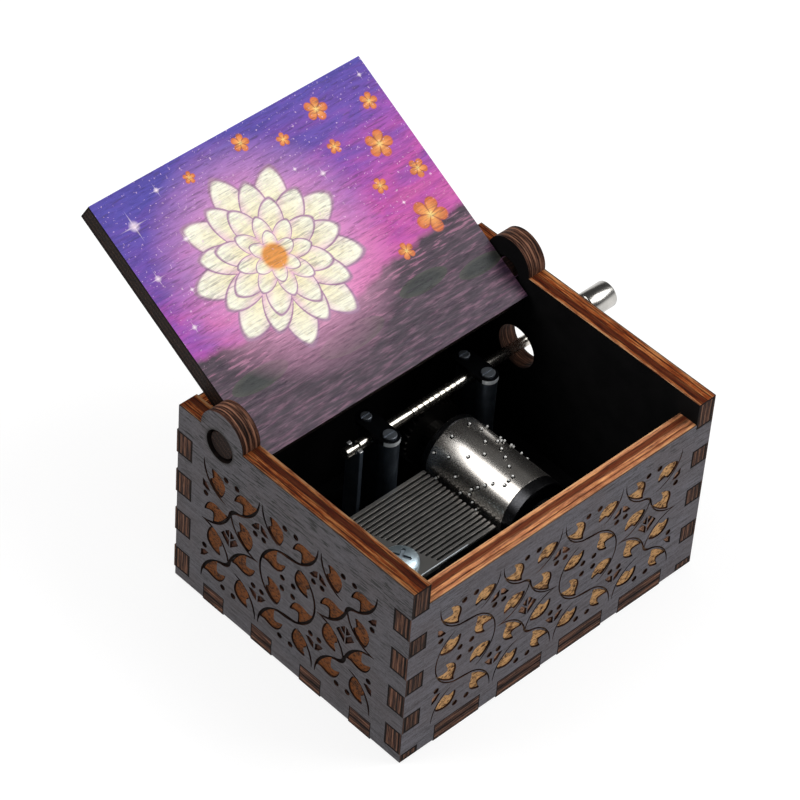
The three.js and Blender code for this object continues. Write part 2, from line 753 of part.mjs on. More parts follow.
// The worm's thread: a straight bar of trapezoid section wound about the shaft
function wormThread() {
  const start = worm_start_x + worm_end_gap + thread_root_width / 2;
  const length = worm_length - worm_end_gap * 2 - thread_root_width;
  const bar = new THREE.ExtrudeGeometry(outline([
    [-thread_root_width / 2, worm_root_radius - thread_sink],
    [thread_root_width / 2, worm_root_radius - thread_sink],
    [thread_tip_width / 2, worm_tip_radius],
    [-thread_tip_width / 2, worm_tip_radius],
  ]), { depth: length, steps: Math.round(thread_steps * length / worm_pitch), bevelEnabled: false });
  const place = bar.attributes.position;
  for (let i = 0; i < place.count; i += 1) {
    const [offset, radius, along] = [place.getX(i), place.getY(i), place.getZ(i)];
    const turn = full_turn * (start + along - cylinder_x) / worm_pitch - square_corner;
    place.setXYZ(i, start + along + offset, shaft_y + radius * Math.cos(turn), shaft_z + radius * Math.sin(turn));
  }
  return solid(bar);
}

// A path given by its stations, so that each bend is met exactly
class StationPath extends THREE.Curve {
  constructor(stations) {
    super();
    this.stations = stations;
  }

  stationAt(u) {
    return this.stations[Math.round(u * (this.stations.length - 1))];
  }

  getPointAt(u, target = new THREE.Vector3()) {
    return target.copy(this.stationAt(u).place);
  }

  getTangentAt(u, target = new THREE.Vector3()) {
    return target.copy(this.stationAt(u).heading);
  }

  getPoint(u, target) {
    return this.getPointAt(u, target);
  }
}

// The bent wire of the crank from the worm's end to the pin under the knob
function crankWire() {
  const out = new THREE.Vector3(0, Math.cos(crank_angle), Math.sin(crank_angle));
  const station = (x, rise, turn) => ({
    place: new THREE.Vector3(x, shaft_y, shaft_z).addScaledVector(out, rise),
    heading: unit_x.clone().multiplyScalar(Math.cos(turn)).addScaledVector(out, Math.sin(turn)),
  });
  const r = crank_bend_radius;
  const turns = Array.from({ length: bend_steps + 1 }, (_, i) => square_corner * i / bend_steps);
  const stations = [
    station(worm_end_x, 0, 0),
    ...turns.map((t) => station(crank_arm_x - r + r * Math.sin(t), r - r * Math.cos(t), t)),
    ...turns.map((t) => station(crank_arm_x + r - r * Math.cos(t), crank_radius - r + r * Math.sin(t), square_corner - t)),
    station(pin_end_x - peened_height / 2, crank_radius, 0),
  ];
  const section = new THREE.Shape();
  section.absarc(0, 0, shaft_radius, 0, full_turn, false);
  return solid(new THREE.ExtrudeGeometry(section, {
    extrudePath: new StationPath(stations),
    steps: stations.length - 1,
    curveSegments: shaft_steps / 2,
  }));
}

function crankRod() {
  const shaft = [
    [0, shaft_tail_x],
    [shaft_radius, shaft_tail_x],
    [shaft_radius, fork_x - fork_thickness / 2 - running_gap],
    [neck_radius, fork_x - fork_thickness / 2 - running_gap],
    [neck_radius, fork_x + fork_thickness / 2 + running_gap],
    [shaft_radius, fork_x + fork_thickness / 2 + running_gap],
    [shaft_radius, worm_start_x],
    [worm_root_radius, worm_start_x],
    [worm_root_radius, worm_end_x + overrun],
    [0, worm_end_x + overrun],
  ];
  return joined([
    turned(shaft, along_x(0, shaft_y, shaft_z), shaft_steps),
    wormThread(),
    crankWire(),
    rod(peened_radius, peened_height, along_x(pin_end_x - peened_height, knob_y, knob_z), small_round_steps),
  ]);
}

function crankKnob() {
  const bore = shaft_radius + running_gap;
  const cup_floor = knob_length - knob_cup_depth;
  return turned([
    [bore, 0],
    [knob_radius - knob_edge, 0],
    [knob_radius, knob_edge],
    [knob_radius, knob_length - knob_edge],
    [knob_radius - knob_edge, knob_length],
    [knob_cup_radius, knob_length],
    [knob_cup_radius, cup_floor],
    [bore, cup_floor],
    [bore, 0],
  ], along_x(knob_x, knob_y, knob_z));
}

// The finished object
const music_box = new THREE.Group();
music_box.name = 'music_box';
const [[front_post_y], [rear_post_y]] = post_places;
music_box.add(
  named('left_panel', plate(sidePanelShape(false), ply, along_x(-half_length)), stained_ply()),
  named('right_panel', plate(sidePanelShape(true), ply, along_x(inner_x)), stained_ply()),
  named('front_panel', plate(longPanelShape(front_top), ply, forward(front_inner_y)), stained_ply()),
  named('back_panel', plate(longPanelShape(back_top), ply, forward(back_y)), stained_ply()),
  named('base_panel', basePanel(), stained_ply()),
  named('lid', lid(), printed_ply()),
  named('bedplate', bedplate(), black_casting()),
  named('bearing_stand_left', bearingStand(left_stand_x), black_casting()),
  named('bearing_stand_right', bearingStand(right_stand_x), black_casting()),
  named('strap_left', strap(left_stand_x), blued_steel()),
  named('strap_right', strap(right_stand_x), blued_steel()),
  named('strap_screw_left_front', strapScrew(left_stand_x, front_post_y, front_head_radius), blued_steel()),
  named('strap_screw_left_rear', strapScrew(left_stand_x, rear_post_y, rear_head_radius), blued_steel()),
  named('strap_screw_right_front', strapScrew(right_stand_x, front_post_y, front_head_radius), blued_steel()),
  named('strap_screw_right_rear', strapScrew(right_stand_x, rear_post_y, rear_head_radius), blued_steel()),
  named('shaft_fork', shaftFork(), blued_steel()),
  named('front_bracket', bracket(front_bracket_y, -1, bracket_screws[0]), black_casting()),
  named('rear_bracket', bracket(rear_bracket_y, 1, bracket_screws[1]), black_casting()),
  named('front_bracket_screw', bracketScrew(bracket_screws[0], bracket_thickness), zinc()),
  named('rear_bracket_screw', bracketScrew(bracket_screws[1], bracket_thickness), zinc()),
  named('fork_screw', bracketScrew(bracket_screws[2], fork_thickness), zinc()),
  named('movement_screw_front_left', baseScrew(base_screws[0]), zinc()),
  named('movement_screw_front_right', baseScrew(base_screws[1]), zinc()),
  named('movement_screw_rear_left', baseScrew(base_screws[2]), zinc()),
  named('comb', comb(), comb_steel()),
  named('comb_screw_treble', combScrew(comb_screws[0]), zinc()),
  named('comb_screw_bass', combScrew(comb_screws[1]), zinc()),
  named('pinned_cylinder', pinnedCylinder(), nickel()),
  named('front_cap', frontCap(), nickel()),
  named('rear_cap', rearCap(), nickel()),
  named('arbor', arbor(), nickel()),
  named('worm_wheel', wormWheel(), nickel()),
  named('crank_rod', crankRod(), nickel()),
  named('crank_knob', crankKnob(), nickel()),
);

export default music_box;
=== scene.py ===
"""The looks of a hand-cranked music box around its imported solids.

A finger-jointed plywood box, stained dark grey and engraved with a scroll pattern, stands open with its
printed lid leaning back. Inside is a small movement: a worm on the crank's shaft turns a pinned cylinder,
whose pins pass the teeth of a steel comb. Sizes in the classes are millimetres in the object's own frame.
"""

from __future__ import annotations

import logging
import math
from collections.abc import Iterable, Iterator
from dataclasses import dataclass, field
from enum import Enum
from functools import cache

import bmesh
import bpy
from mathutils import Matrix, Quaternion, Vector, geometry

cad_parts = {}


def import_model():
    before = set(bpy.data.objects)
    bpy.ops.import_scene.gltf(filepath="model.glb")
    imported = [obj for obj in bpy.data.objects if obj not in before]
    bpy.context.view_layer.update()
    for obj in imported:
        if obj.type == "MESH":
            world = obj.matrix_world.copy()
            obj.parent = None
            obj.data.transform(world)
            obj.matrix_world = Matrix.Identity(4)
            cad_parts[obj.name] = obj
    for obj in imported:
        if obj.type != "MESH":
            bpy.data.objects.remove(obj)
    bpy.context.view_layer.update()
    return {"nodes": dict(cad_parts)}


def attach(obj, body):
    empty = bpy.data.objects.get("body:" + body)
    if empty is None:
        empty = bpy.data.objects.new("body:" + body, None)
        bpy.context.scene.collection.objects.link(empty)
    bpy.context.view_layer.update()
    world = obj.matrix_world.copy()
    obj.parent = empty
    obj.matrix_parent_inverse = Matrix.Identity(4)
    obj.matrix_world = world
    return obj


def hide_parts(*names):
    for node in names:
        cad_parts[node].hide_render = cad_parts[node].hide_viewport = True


log = logging.getLogger("music_box")

MM = 0.001
FULL_TURN = math.tau
SQUARE = math.pi / 2
X, Y, Z = Vector((1, 0, 0)), Vector((0, 1, 0)), Vector((0, 0, 1))
Point = tuple[float, float]
Triple = tuple[float, float, float]
Outline = list[Point]
Coat = dict[str, object]
Sockets = bpy.types.bpy_prop_collection
Tree = bpy.types.NodeTree
Face = bmesh.types.BMFace

# Sizes that several parts share. Places across the box are given as its Y and Z.
PLY = 3.6
HINGE = (16.4, 35.8)
LEAN = math.radians(29.3)
SHAFT = (12.5, 22.126)
BED_TOP = 5.6
COMB_FRONT = -9.7
TOOTH_PITCH = 0.9
TEETH = 18


class Tile(Enum):
    """What stands in one cell of the scroll pattern."""

    RING = "ring"
    STAR = "star"
    LOWER_HALF = "lower half"
    UPPER_HALF = "upper half"


class Leaf(Enum):
    """The two leaves that hug the vines."""

    CRESCENT = "crescent"
    OVAL = "oval"


SIDE_TILES = [[Tile.LOWER_HALF] * 3, [Tile.STAR, Tile.RING, Tile.STAR], [Tile.UPPER_HALF] * 3]
LONG_TILES = [[Tile.LOWER_HALF] * 4, [Tile.RING, Tile.STAR] * 2, [Tile.UPPER_HALF] * 4]


# Colour and node helpers


def linear(color: object) -> object:
    """Turns a colour read as 0 to 255 into the linear colour a shader takes.

    Args:
        color: Red, green and blue from 0 to 255, or a socket.

    Returns:
        Linear red, green and blue with full alpha, or the socket as it is.
    """
    if isinstance(color, bpy.types.NodeSocket):
        return color
    parts = [value / 255 for value in color]
    return (*(p / 12.92 if p <= 0.04045 else ((p + 0.055) / 1.055) ** 2.4 for p in parts), 1.0)


class Graph:
    """A node tree in the making, with short calls for the nodes that the finishes use."""

    def __init__(self, tree: Tree) -> None:
        """Starts on a tree, keeping its nodes; where will hold the coordinates that its textures read."""
        self.tree, self.where = tree, None

    def node(self, kind: str, inputs: dict | None = None, **settings: object) -> bpy.types.Node:
        """Adds a node.

        Args:
            kind: The node's type, without its ShaderNode prefix.
            inputs: Values or sockets for its inputs, by name or place.
            **settings: Attributes of the node.

        Returns:
            The node.
        """
        made = self.tree.nodes.new("ShaderNode" + kind)
        for name, value in settings.items():
            setattr(made, name, value)
        for key, value in (inputs or {}).items():
            self.feed(made.inputs[key], value)
        return made

    def feed(self, target: bpy.types.NodeSocket, value: object) -> None:
        """Links a socket to the target, or sets the target's own value.

        Args:
            target: The input to feed.
            value: A socket, a number, a vector or a colour.
        """
        if isinstance(value, bpy.types.NodeSocket):
            self.tree.links.new(value, target)
        elif value is not None:
            target.default_value = value

    def math(self, operation: str, a: object, b: object = None, clamp: bool = False) -> object:
        """Adds a Math node on two values or sockets, its result kept from 0 to 1 if clamped."""
        return self.node("Math", {0: a, 1: b}, operation=operation, use_clamp=clamp).outputs[0]

    def times(self, a: object, b: object, clamp: bool = False) -> object:
        """Multiplies two values."""
        return self.math("MULTIPLY", a, b, clamp)

    def plus(self, a: object, b: object) -> object:
        """Adds two values."""
        return self.math("ADD", a, b)

    def minus(self, a: object, b: object) -> object:
        """Takes the second value from the first."""
        return self.math("SUBTRACT", a, b)

    def most(self, a: object, b: object) -> object:
        """Gives the larger of two values."""
        return self.math("MAXIMUM", a, b)

    def size(self, value: object) -> object:
        """Gives a value without its sign."""
        return self.math("ABSOLUTE", value)

    def length(self, vector: object) -> object:
        """Gives a vector's length."""
        return self.node("VectorMath", {0: vector}, operation="LENGTH").outputs["Value"]

    def mix(self, factor: object, a: object, b: object, blend: str = "MIX") -> object:
        """Mixes two colours, each read as 0 to 255 or from a socket, by the share of the second."""
        given = {0: factor, 6: linear(a), 7: linear(b)}
        return self.node("Mix", given, data_type="RGBA", blend_type=blend).outputs[2]

    def ramp(self, factor: object, stops: list[tuple[float, Triple]]) -> object:
        """Colours a value by stops.

        Args:
            factor: The value's socket.
            stops: Places from 0 to 1, each with its colour, 0 to 255.

        Returns:
            The colour's socket.
        """
        made = self.node("ValToRGB", {0: factor})
        elements = made.color_ramp.elements
        while len(elements) < len(stops):
            elements.new(1.0)
        for element, (place, color) in zip(elements, stops):
            element.position = place
            element.color = linear(color)
        return made.outputs[0]

    def span(self, value: object, low: float, high: float, start: float = 0.0, end: float = 1.0) -> object:
        """Maps low to high onto start to end, and keeps the result between these."""
        given = dict(enumerate((value, low, high, start, end)))
        return self.node("MapRange", given, clamp=True).outputs[0]

    def noise(
        self, vector: object, scale: object, detail: float = 2.0, roughness: float = 0.5, warp: float = 0.0
    ) -> object:
        """Reads a noise texture, from 0 to 1, whose roughness is the strength of its finer octaves."""
        given = {"Vector": vector, "Scale": scale, "Detail": detail, "Roughness": roughness}
        return self.node("TexNoise", {**given, "Distortion": warp}).outputs[0]

    def place(
        self, vector: object, scale: tuple, turn: tuple = (0, 0, 0), shift: tuple = (0, 0, 0)
    ) -> object:
        """Scales coordinates, turns them about each axis in radians and shifts them, in that order."""
        given = {"Vector": vector, "Scale": scale, "Rotation": turn, "Location": shift}
        return self.node("Mapping", given).outputs[0]

    def parts(self, vector: object) -> tuple[object, object, object]:
        """Splits a vector into its three values."""
        made = self.node("SeparateXYZ", {0: vector})
        return made.outputs[0], made.outputs[1], made.outputs[2]

    def bump(self, height: object, strength: float, distance: float) -> object:
        """Turns a height, whose 1 stands for a distance in metres, into a normal."""
        return self.node("Bump", {"Height": height, "Strength": strength, "Distance": distance}).outputs[0]

    def shared(self, tree: Tree, inputs: dict) -> Sockets:
        """Places a shared effect with values or sockets for its inputs, and gives its outputs."""
        return self.node("Group", inputs, node_tree=tree).outputs

    def give(self, **outputs: object) -> Tree:
        """Ends a shared effect.

        Args:
            **outputs: The value of each output, by name.

        Returns:
            The effect.
        """
        for label in outputs:
            self.tree.interface.new_socket(label, in_out="OUTPUT", socket_type="NodeSocketFloat")
        leave = self.tree.nodes.new("NodeGroupOutput")
        for label, socket in outputs.items():
            self.feed(leave.inputs[label], socket)
        return self.tree


def effect(name: str, **inputs: float | None) -> tuple[Graph, Sockets]:
    """Starts a shader node group.

    Args:
        name: The group's name.
        **inputs: Each input's default, or none for a vector.

    Returns:
        The group's graph, and the sockets of its inputs.
    """
    tree = bpy.data.node_groups.new(name, "ShaderNodeTree")
    for label, value in inputs.items():
        kind = "Vector" if value is None else "Float"
        socket = tree.interface.new_socket(label, in_out="INPUT", socket_type="NodeSocket" + kind)
        if value is not None:
            socket.default_value = value
    return Graph(tree), tree.nodes.new("NodeGroupInput").outputs


class Effects:
    """The shader node groups that more than one finish uses, each made once."""

    @staticmethod
    @cache
    def wood_grain() -> Tree:
        """Streaks and pores of wood whose grain runs along X, in millimetres.

        Returns:
            A group with Streak, Pore and Height outputs.
        """
        graph, given = effect("wood_grain", Vector=None, Width=0.5, Pores=0.3)
        scale = graph.math("DIVIDE", 1.0, given["Width"])
        long_way = graph.place(given["Vector"], (0.1, 1, 1))
        broad = graph.noise(long_way, scale, 3.0, warp=0.6)
        fine = graph.noise(long_way, graph.times(scale, 4.0))
        streak = graph.plus(graph.times(broad, 0.6), graph.times(fine, 0.4))
        short_way = graph.place(given["Vector"], (0.36, 3.0, 3.0))
        specks = graph.noise(short_way, 1.0, 1.0, 0.5)
        thickets = graph.noise(graph.place(given["Vector"], (0.07, 0.3, 0.3)), 1.0, 2.0)
        crowd = graph.span(thickets, 0.36, 0.6, 0.12, 0.0)
        share = graph.times(given["Pores"], 0.29)
        edge = graph.plus(graph.minus(0.8, share), crowd)
        pore = graph.times(graph.minus(specks, edge), 22.0, clamp=True)
        height = graph.minus(streak, graph.times(pore, 0.6))
        return graph.give(Streak=streak, Pore=pore, Height=height)

    @staticmethod
    @cache
    def ply_layers() -> Tree:
        """Layers of plywood across its thickness, from 0 inside to 1 outside.

        Returns:
            A group with Core, Glue and Rim masks.
        """
        graph, given = effect("ply_layers", Across=0.5, Waver=0.0)
        wavy = graph.plus(given["Across"], given["Waver"])
        rise = graph.span(wavy, 0.18, 0.26)
        fall = graph.span(wavy, 0.42, 0.5)
        core = graph.times(rise, graph.minus(1.0, fall), clamp=True)
        away = [graph.size(graph.minus(wavy, middle)) for middle in (0.22, 0.48, 0.75)]
        lines = [graph.span(one, 0.01, 0.06, 1.0, 0.0) for one in away]
        glue = graph.most(graph.most(lines[0], lines[1]), lines[2])
        rim = graph.most(graph.span(wavy, 0.03, 0.13, 1.0, 0.0), graph.span(wavy, 0.86, 0.96))
        return graph.give(Core=core, Glue=glue, Rim=rim)

    @staticmethod
    @cache
    def handling() -> Tree:
        """Soft smudges and fine specks that break up a plain surface.

        Returns:
            A group with Smudge and Speck outputs.
        """
        graph, given = effect("handling", Vector=None, Size=6.0)
        scale = graph.math("DIVIDE", 1.0, given["Size"])
        smudge = graph.span(graph.noise(given["Vector"], scale, 4.0), 0.35, 0.7)
        speck = graph.span(graph.noise(given["Vector"], 2.6, 2.0, 0.7), 0.66, 0.76)
        return graph.give(Smudge=smudge, Speck=speck)


@dataclass(frozen=True)
class Finish:
    """A finish that paints one material on object coordinates in millimetres."""

    name: str

    def material(self) -> bpy.types.Material:
        """Makes the finish's material at its first use.

        Returns:
            The material.
        """
        found = bpy.data.materials.get(self.name)
        if found:
            return found
        made = bpy.data.materials.new(self.name)
        made.use_nodes = True
        graph = Graph(made.node_tree)
        surface = made.node_tree.nodes["Principled BSDF"]
        graph.where = graph.place(graph.node("TexCoord").outputs["Object"], (1 / MM, 1 / MM, 1 / MM))
        for socket, value in self.paint(graph).items():
            graph.feed(surface.inputs[socket], value)
        return made

    def paint(self, graph: Graph) -> Coat:
        """Gives a value or a socket for each input that the finish sets on the surface shader."""
        raise NotImplementedError


@dataclass(frozen=True)
class StainedFace(Finish):
    """Plywood veneer stained dark grey, with its grain along one way and dark dashes where it is worn."""

    grain_turn: Triple = (0.0, 0.0, 0.0)
    tone: Triple = (80, 77, 82)
    depth: float = 1.0
    pores: float = 0.8
    worn: tuple[float, float] = (20.0, 33.0)
    bore: Triple = (0.0, 0.0, 0.0)

    def paint(self, graph: Graph) -> Coat:
        """Lays the stain, darker in the grain's streaks and dashes, with a brown cast in patches.

        Args:
            graph: The material's graph.

        Returns:
            The shader's inputs.
        """
        along = graph.place(graph.where, (1, 1, 1), self.grain_turn)
        grain = graph.shared(Effects.wood_grain(), {"Vector": along, "Width": 0.5, "Pores": self.pores})
        smudge = graph.shared(Effects.handling(), {"Vector": graph.where, "Size": 7.0})["Smudge"]
        r, g, b = self.tone
        dark, light = (r * 0.66, g * 0.64, b * 0.65), (r * 1.16, g * 1.16, b * 1.18)
        fuzz = graph.noise(along, 2.6, 2.0, 0.7)
        mottled = graph.plus(graph.times(grain["Streak"], 0.62), graph.times(fuzz, 0.38))
        base = graph.ramp(mottled, [(0.38, dark), (0.5, self.tone), (0.62, light)])
        tint = graph.mix(graph.times(smudge, 0.4), base, (r * 0.98, g * 0.86, b * 0.8))
        _, _, height = graph.parts(graph.where)
        worn = graph.times(grain["Pore"], graph.span(height, *self.worn, 0.35, 1.0))
        color = graph.mix(graph.times(worn, self.depth), tint, (r * 0.15, g * 0.12, b * 0.12))
        # Round the hinge hole the stain darkens to near black in a narrow ring: laser scorch, with painted
        # shade round the peg.
        if self.bore[2]:
            y, z, radius = self.bore
            beside = graph.place(graph.where, (0, 1, 1), (0, 0, 0), (0, -y, -z))
            scorch = graph.span(graph.length(beside), radius + 0.12, radius + 0.6, 0.92, 0.0)
            color = graph.mix(scorch, color, (18, 12, 11))
        return {
            "Base Color": color,
            "Roughness": graph.span(grain["Streak"], 0.3, 0.7, 0.62, 0.48),
            "Normal": graph.bump(grain["Height"], 0.5, 0.00015),
            "Specular IOR Level": 0.3,
        }


@dataclass(frozen=True)
class PlyEdge(Finish):
    """Laser-cut edge of a board, its layers running across one way."""

    across: Triple = (0.0, 0.0, 1.0)
    inner: float = 0.0
    thickness: float = PLY
    scorched: bool = False
    # How far the colour is darkened towards near black: burnt tone, and painted shade.
    burn_and_painted_shade: float = 1.0
    painted_light: float = 0.0

    def paint(self, graph: Graph) -> Coat:
        """Lays the layers, dark reddish brown with paler lines where the laser cut them, or else sanded.

        Args:
            graph: The material's graph.

        Returns:
            The shader's inputs.
        """
        given = {0: graph.where, 1: self.across}
        away = graph.node("VectorMath", given, operation="DOT_PRODUCT").outputs["Value"]
        level = graph.math("DIVIDE", graph.minus(away, self.inner), self.thickness)
        stretched = tuple(0.12 if abs(part) < 0.3 else 2.5 for part in self.across)
        streaks = graph.noise(graph.place(graph.where, stretched), 1.6, 5.0, 0.7)
        patches = graph.noise(graph.where, 0.3, 3.0, 0.6)
        waver = graph.times(graph.minus(patches, 0.5), 0.1)
        layers = graph.shared(Effects.ply_layers(), {"Across": level, "Waver": waver})
        if self.scorched:
            char = graph.ramp(streaks, [(0.38, (14, 8, 6)), (0.5, (56, 34, 26)), (0.62, (108, 72, 56))])
            line = graph.times(layers["Glue"], graph.span(streaks, 0.42, 0.56, 0.1, 0.9))
            color = graph.mix(line, char, (146, 104, 82))
        else:
            color = self.sanded(graph, layers, streaks, patches, level)
        # Below 1, burn_and_painted_shade darkens the colour towards near black: the burnt tone of cut edges,
        # and painted shade on edges in less light.
        return {
            "Base Color": graph.mix(1.0 - self.burn_and_painted_shade, color, (12, 8, 7)) if self.burn_and_painted_shade < 1 else color,
            "Roughness": 0.62,
            "Specular IOR Level": 0.08,
            "Normal": graph.bump(streaks, 0.6, 0.00018),
        }

    def sanded(
        self, graph: Graph, layers: Sockets, streaks: object, patches: object, level: object
    ) -> object:
        """Colours the sanded top edge: orange veneers, a dark core and pale rims, with fine dark streaks.

        Args:
            graph: The material's graph.
            layers: The layers' masks.
            streaks: Fine streaks along the edge.
            patches: Broad patches.
            level: Place across the thickness, 0 inside to 1 outside.

        Returns:
            The colour's socket.
        """
        veneer = graph.ramp(streaks, [(0.38, (96, 34, 10)), (0.5, (168, 80, 31)), (0.62, (222, 148, 86))])
        # painted_light pales the veneer towards light tan: painted light on the front wall's top edge.
        if self.painted_light:
            veneer = graph.mix(self.painted_light, veneer, (232, 186, 146))
        cored = graph.mix(graph.times(layers["Core"], 0.88), veneer, (84, 25, 6))
        pale = graph.times(layers["Rim"], graph.span(streaks, 0.42, 0.56, 0.1, 0.95))
        rimmed = graph.mix(pale, cored, (212, 164, 118))
        lines = graph.times(layers["Glue"], graph.span(streaks, 0.36, 0.62, 0.95, 0.66))
        glued = graph.mix(lines, rimmed, (44, 16, 7))
        fine = graph.mix(graph.span(streaks, 0.34, 0.44, 0.8, 0.0), glued, (50, 20, 9))
        worn = graph.mix(graph.span(patches, 0.48, 0.68, 0.0, 0.4), fine, (104, 44, 16))
        return graph.mix(graph.span(level, 0.93, 0.975, 0.0, 0.9), worn, (34, 20, 17))


@dataclass(frozen=True)
class Char(Finish):
    """Scorched wood in the laser's kerf."""

    def paint(self, graph: Graph) -> Coat:
        """Lays near-black char with a brown cast.

        Args:
            graph: The material's graph.

        Returns:
            The shader's inputs.
        """
        patch = graph.noise(graph.where, 1.2, 3.0, 0.6)
        return {
            "Base Color": graph.ramp(patch, [(0.35, (10, 7, 7)), (0.7, (30, 19, 15))]),
            "Roughness": 0.8,
            "Specular IOR Level": 0.1,
            "Normal": graph.bump(patch, 0.3, 0.0001),
        }


@dataclass(frozen=True)
class BlackInside(Finish):
    """Matt near-black finish on the inside of the box."""

    def paint(self, graph: Graph) -> Coat:
        """Lays the near-black colour with a faint nap.

        Args:
            graph: The material's graph.

        Returns:
            The shader's inputs.
        """
        smudge = graph.shared(Effects.handling(), {"Vector": graph.where, "Size": 4.0})["Smudge"]
        return {
            "Base Color": graph.mix(smudge, (7, 7, 8), (15, 14, 15)),
            "Roughness": 0.85,
            "Specular IOR Level": 0.12,
            "Normal": graph.bump(graph.noise(graph.where, 5.0, 3.0), 0.2, 0.0001),
        }


@dataclass(frozen=True)
class EngravedWood(Finish):
    """Bare wood at the floor of the engraving, scorched by the cut."""

    light: Triple = (196, 148, 88)
    dark: Triple = (120, 76, 36)

    def paint(self, graph: Graph) -> Coat:
        """Lays the bare wood in patches of light and scorched tone.

        Args:
            graph: The material's graph.

        Returns:
            The shader's inputs.
        """
        streaks = graph.noise(graph.place(graph.where, (0.7, 0.7, 1.5)), 2.2, 4.0, 0.65)
        patches = graph.noise(graph.where, 0.8, 2.0, 0.5)
        tone = graph.plus(graph.times(streaks, 0.6), graph.times(patches, 0.4))
        bright = [min(255, part * 1.14) for part in self.light]
        color = graph.ramp(tone, [(0.4, self.dark), (0.5, self.light), (0.6, bright)])
        singed = [part * 0.4 for part in self.dark]
        return {
            "Base Color": graph.mix(graph.span(streaks, 0.36, 0.46, 0.9, 0.0), color, singed),
            "Roughness": 0.7,
            "Specular IOR Level": 0.12,
            "Normal": graph.bump(streaks, 0.8, 0.0003),
        }


@dataclass(frozen=True)
class Metal(Finish):
    """A metal whose gloss is broken by fine marks along one way."""

    color: Triple = (190, 186, 180)
    dull: Triple = (120, 116, 110)
    roughness: float = 0.25
    metallic: float = 1.0
    marks: Triple = (1.0, 1.0, 1.0)
    relief: float = 0.15
    specks: float = 0.5
    spread: float = 1.0

    def paint(self, graph: Graph) -> Coat:
        """Lays the metal with its marks and duller patches.

        Args:
            graph: The material's graph.

        Returns:
            The shader's inputs.
        """
        lines = graph.noise(graph.place(graph.where, self.marks), 6.0, 4.0, 0.6)
        marks = graph.shared(Effects.handling(), {"Vector": graph.where, "Size": 3.0})
        color = graph.mix(graph.times(marks["Smudge"], 0.55), self.color, self.dull)
        stain = [part * 0.55 for part in self.dull]
        low, high = 1 - 0.2 * self.spread, 1 + 0.35 * self.spread
        return {
            "Base Color": graph.mix(graph.times(marks["Speck"], self.specks), color, stain),
            "Metallic": self.metallic,
            "Roughness": graph.span(lines, 0.3, 0.7, self.roughness * low, min(1.0, self.roughness * high)),
            "Normal": graph.bump(lines, self.relief, 0.00005),
        }


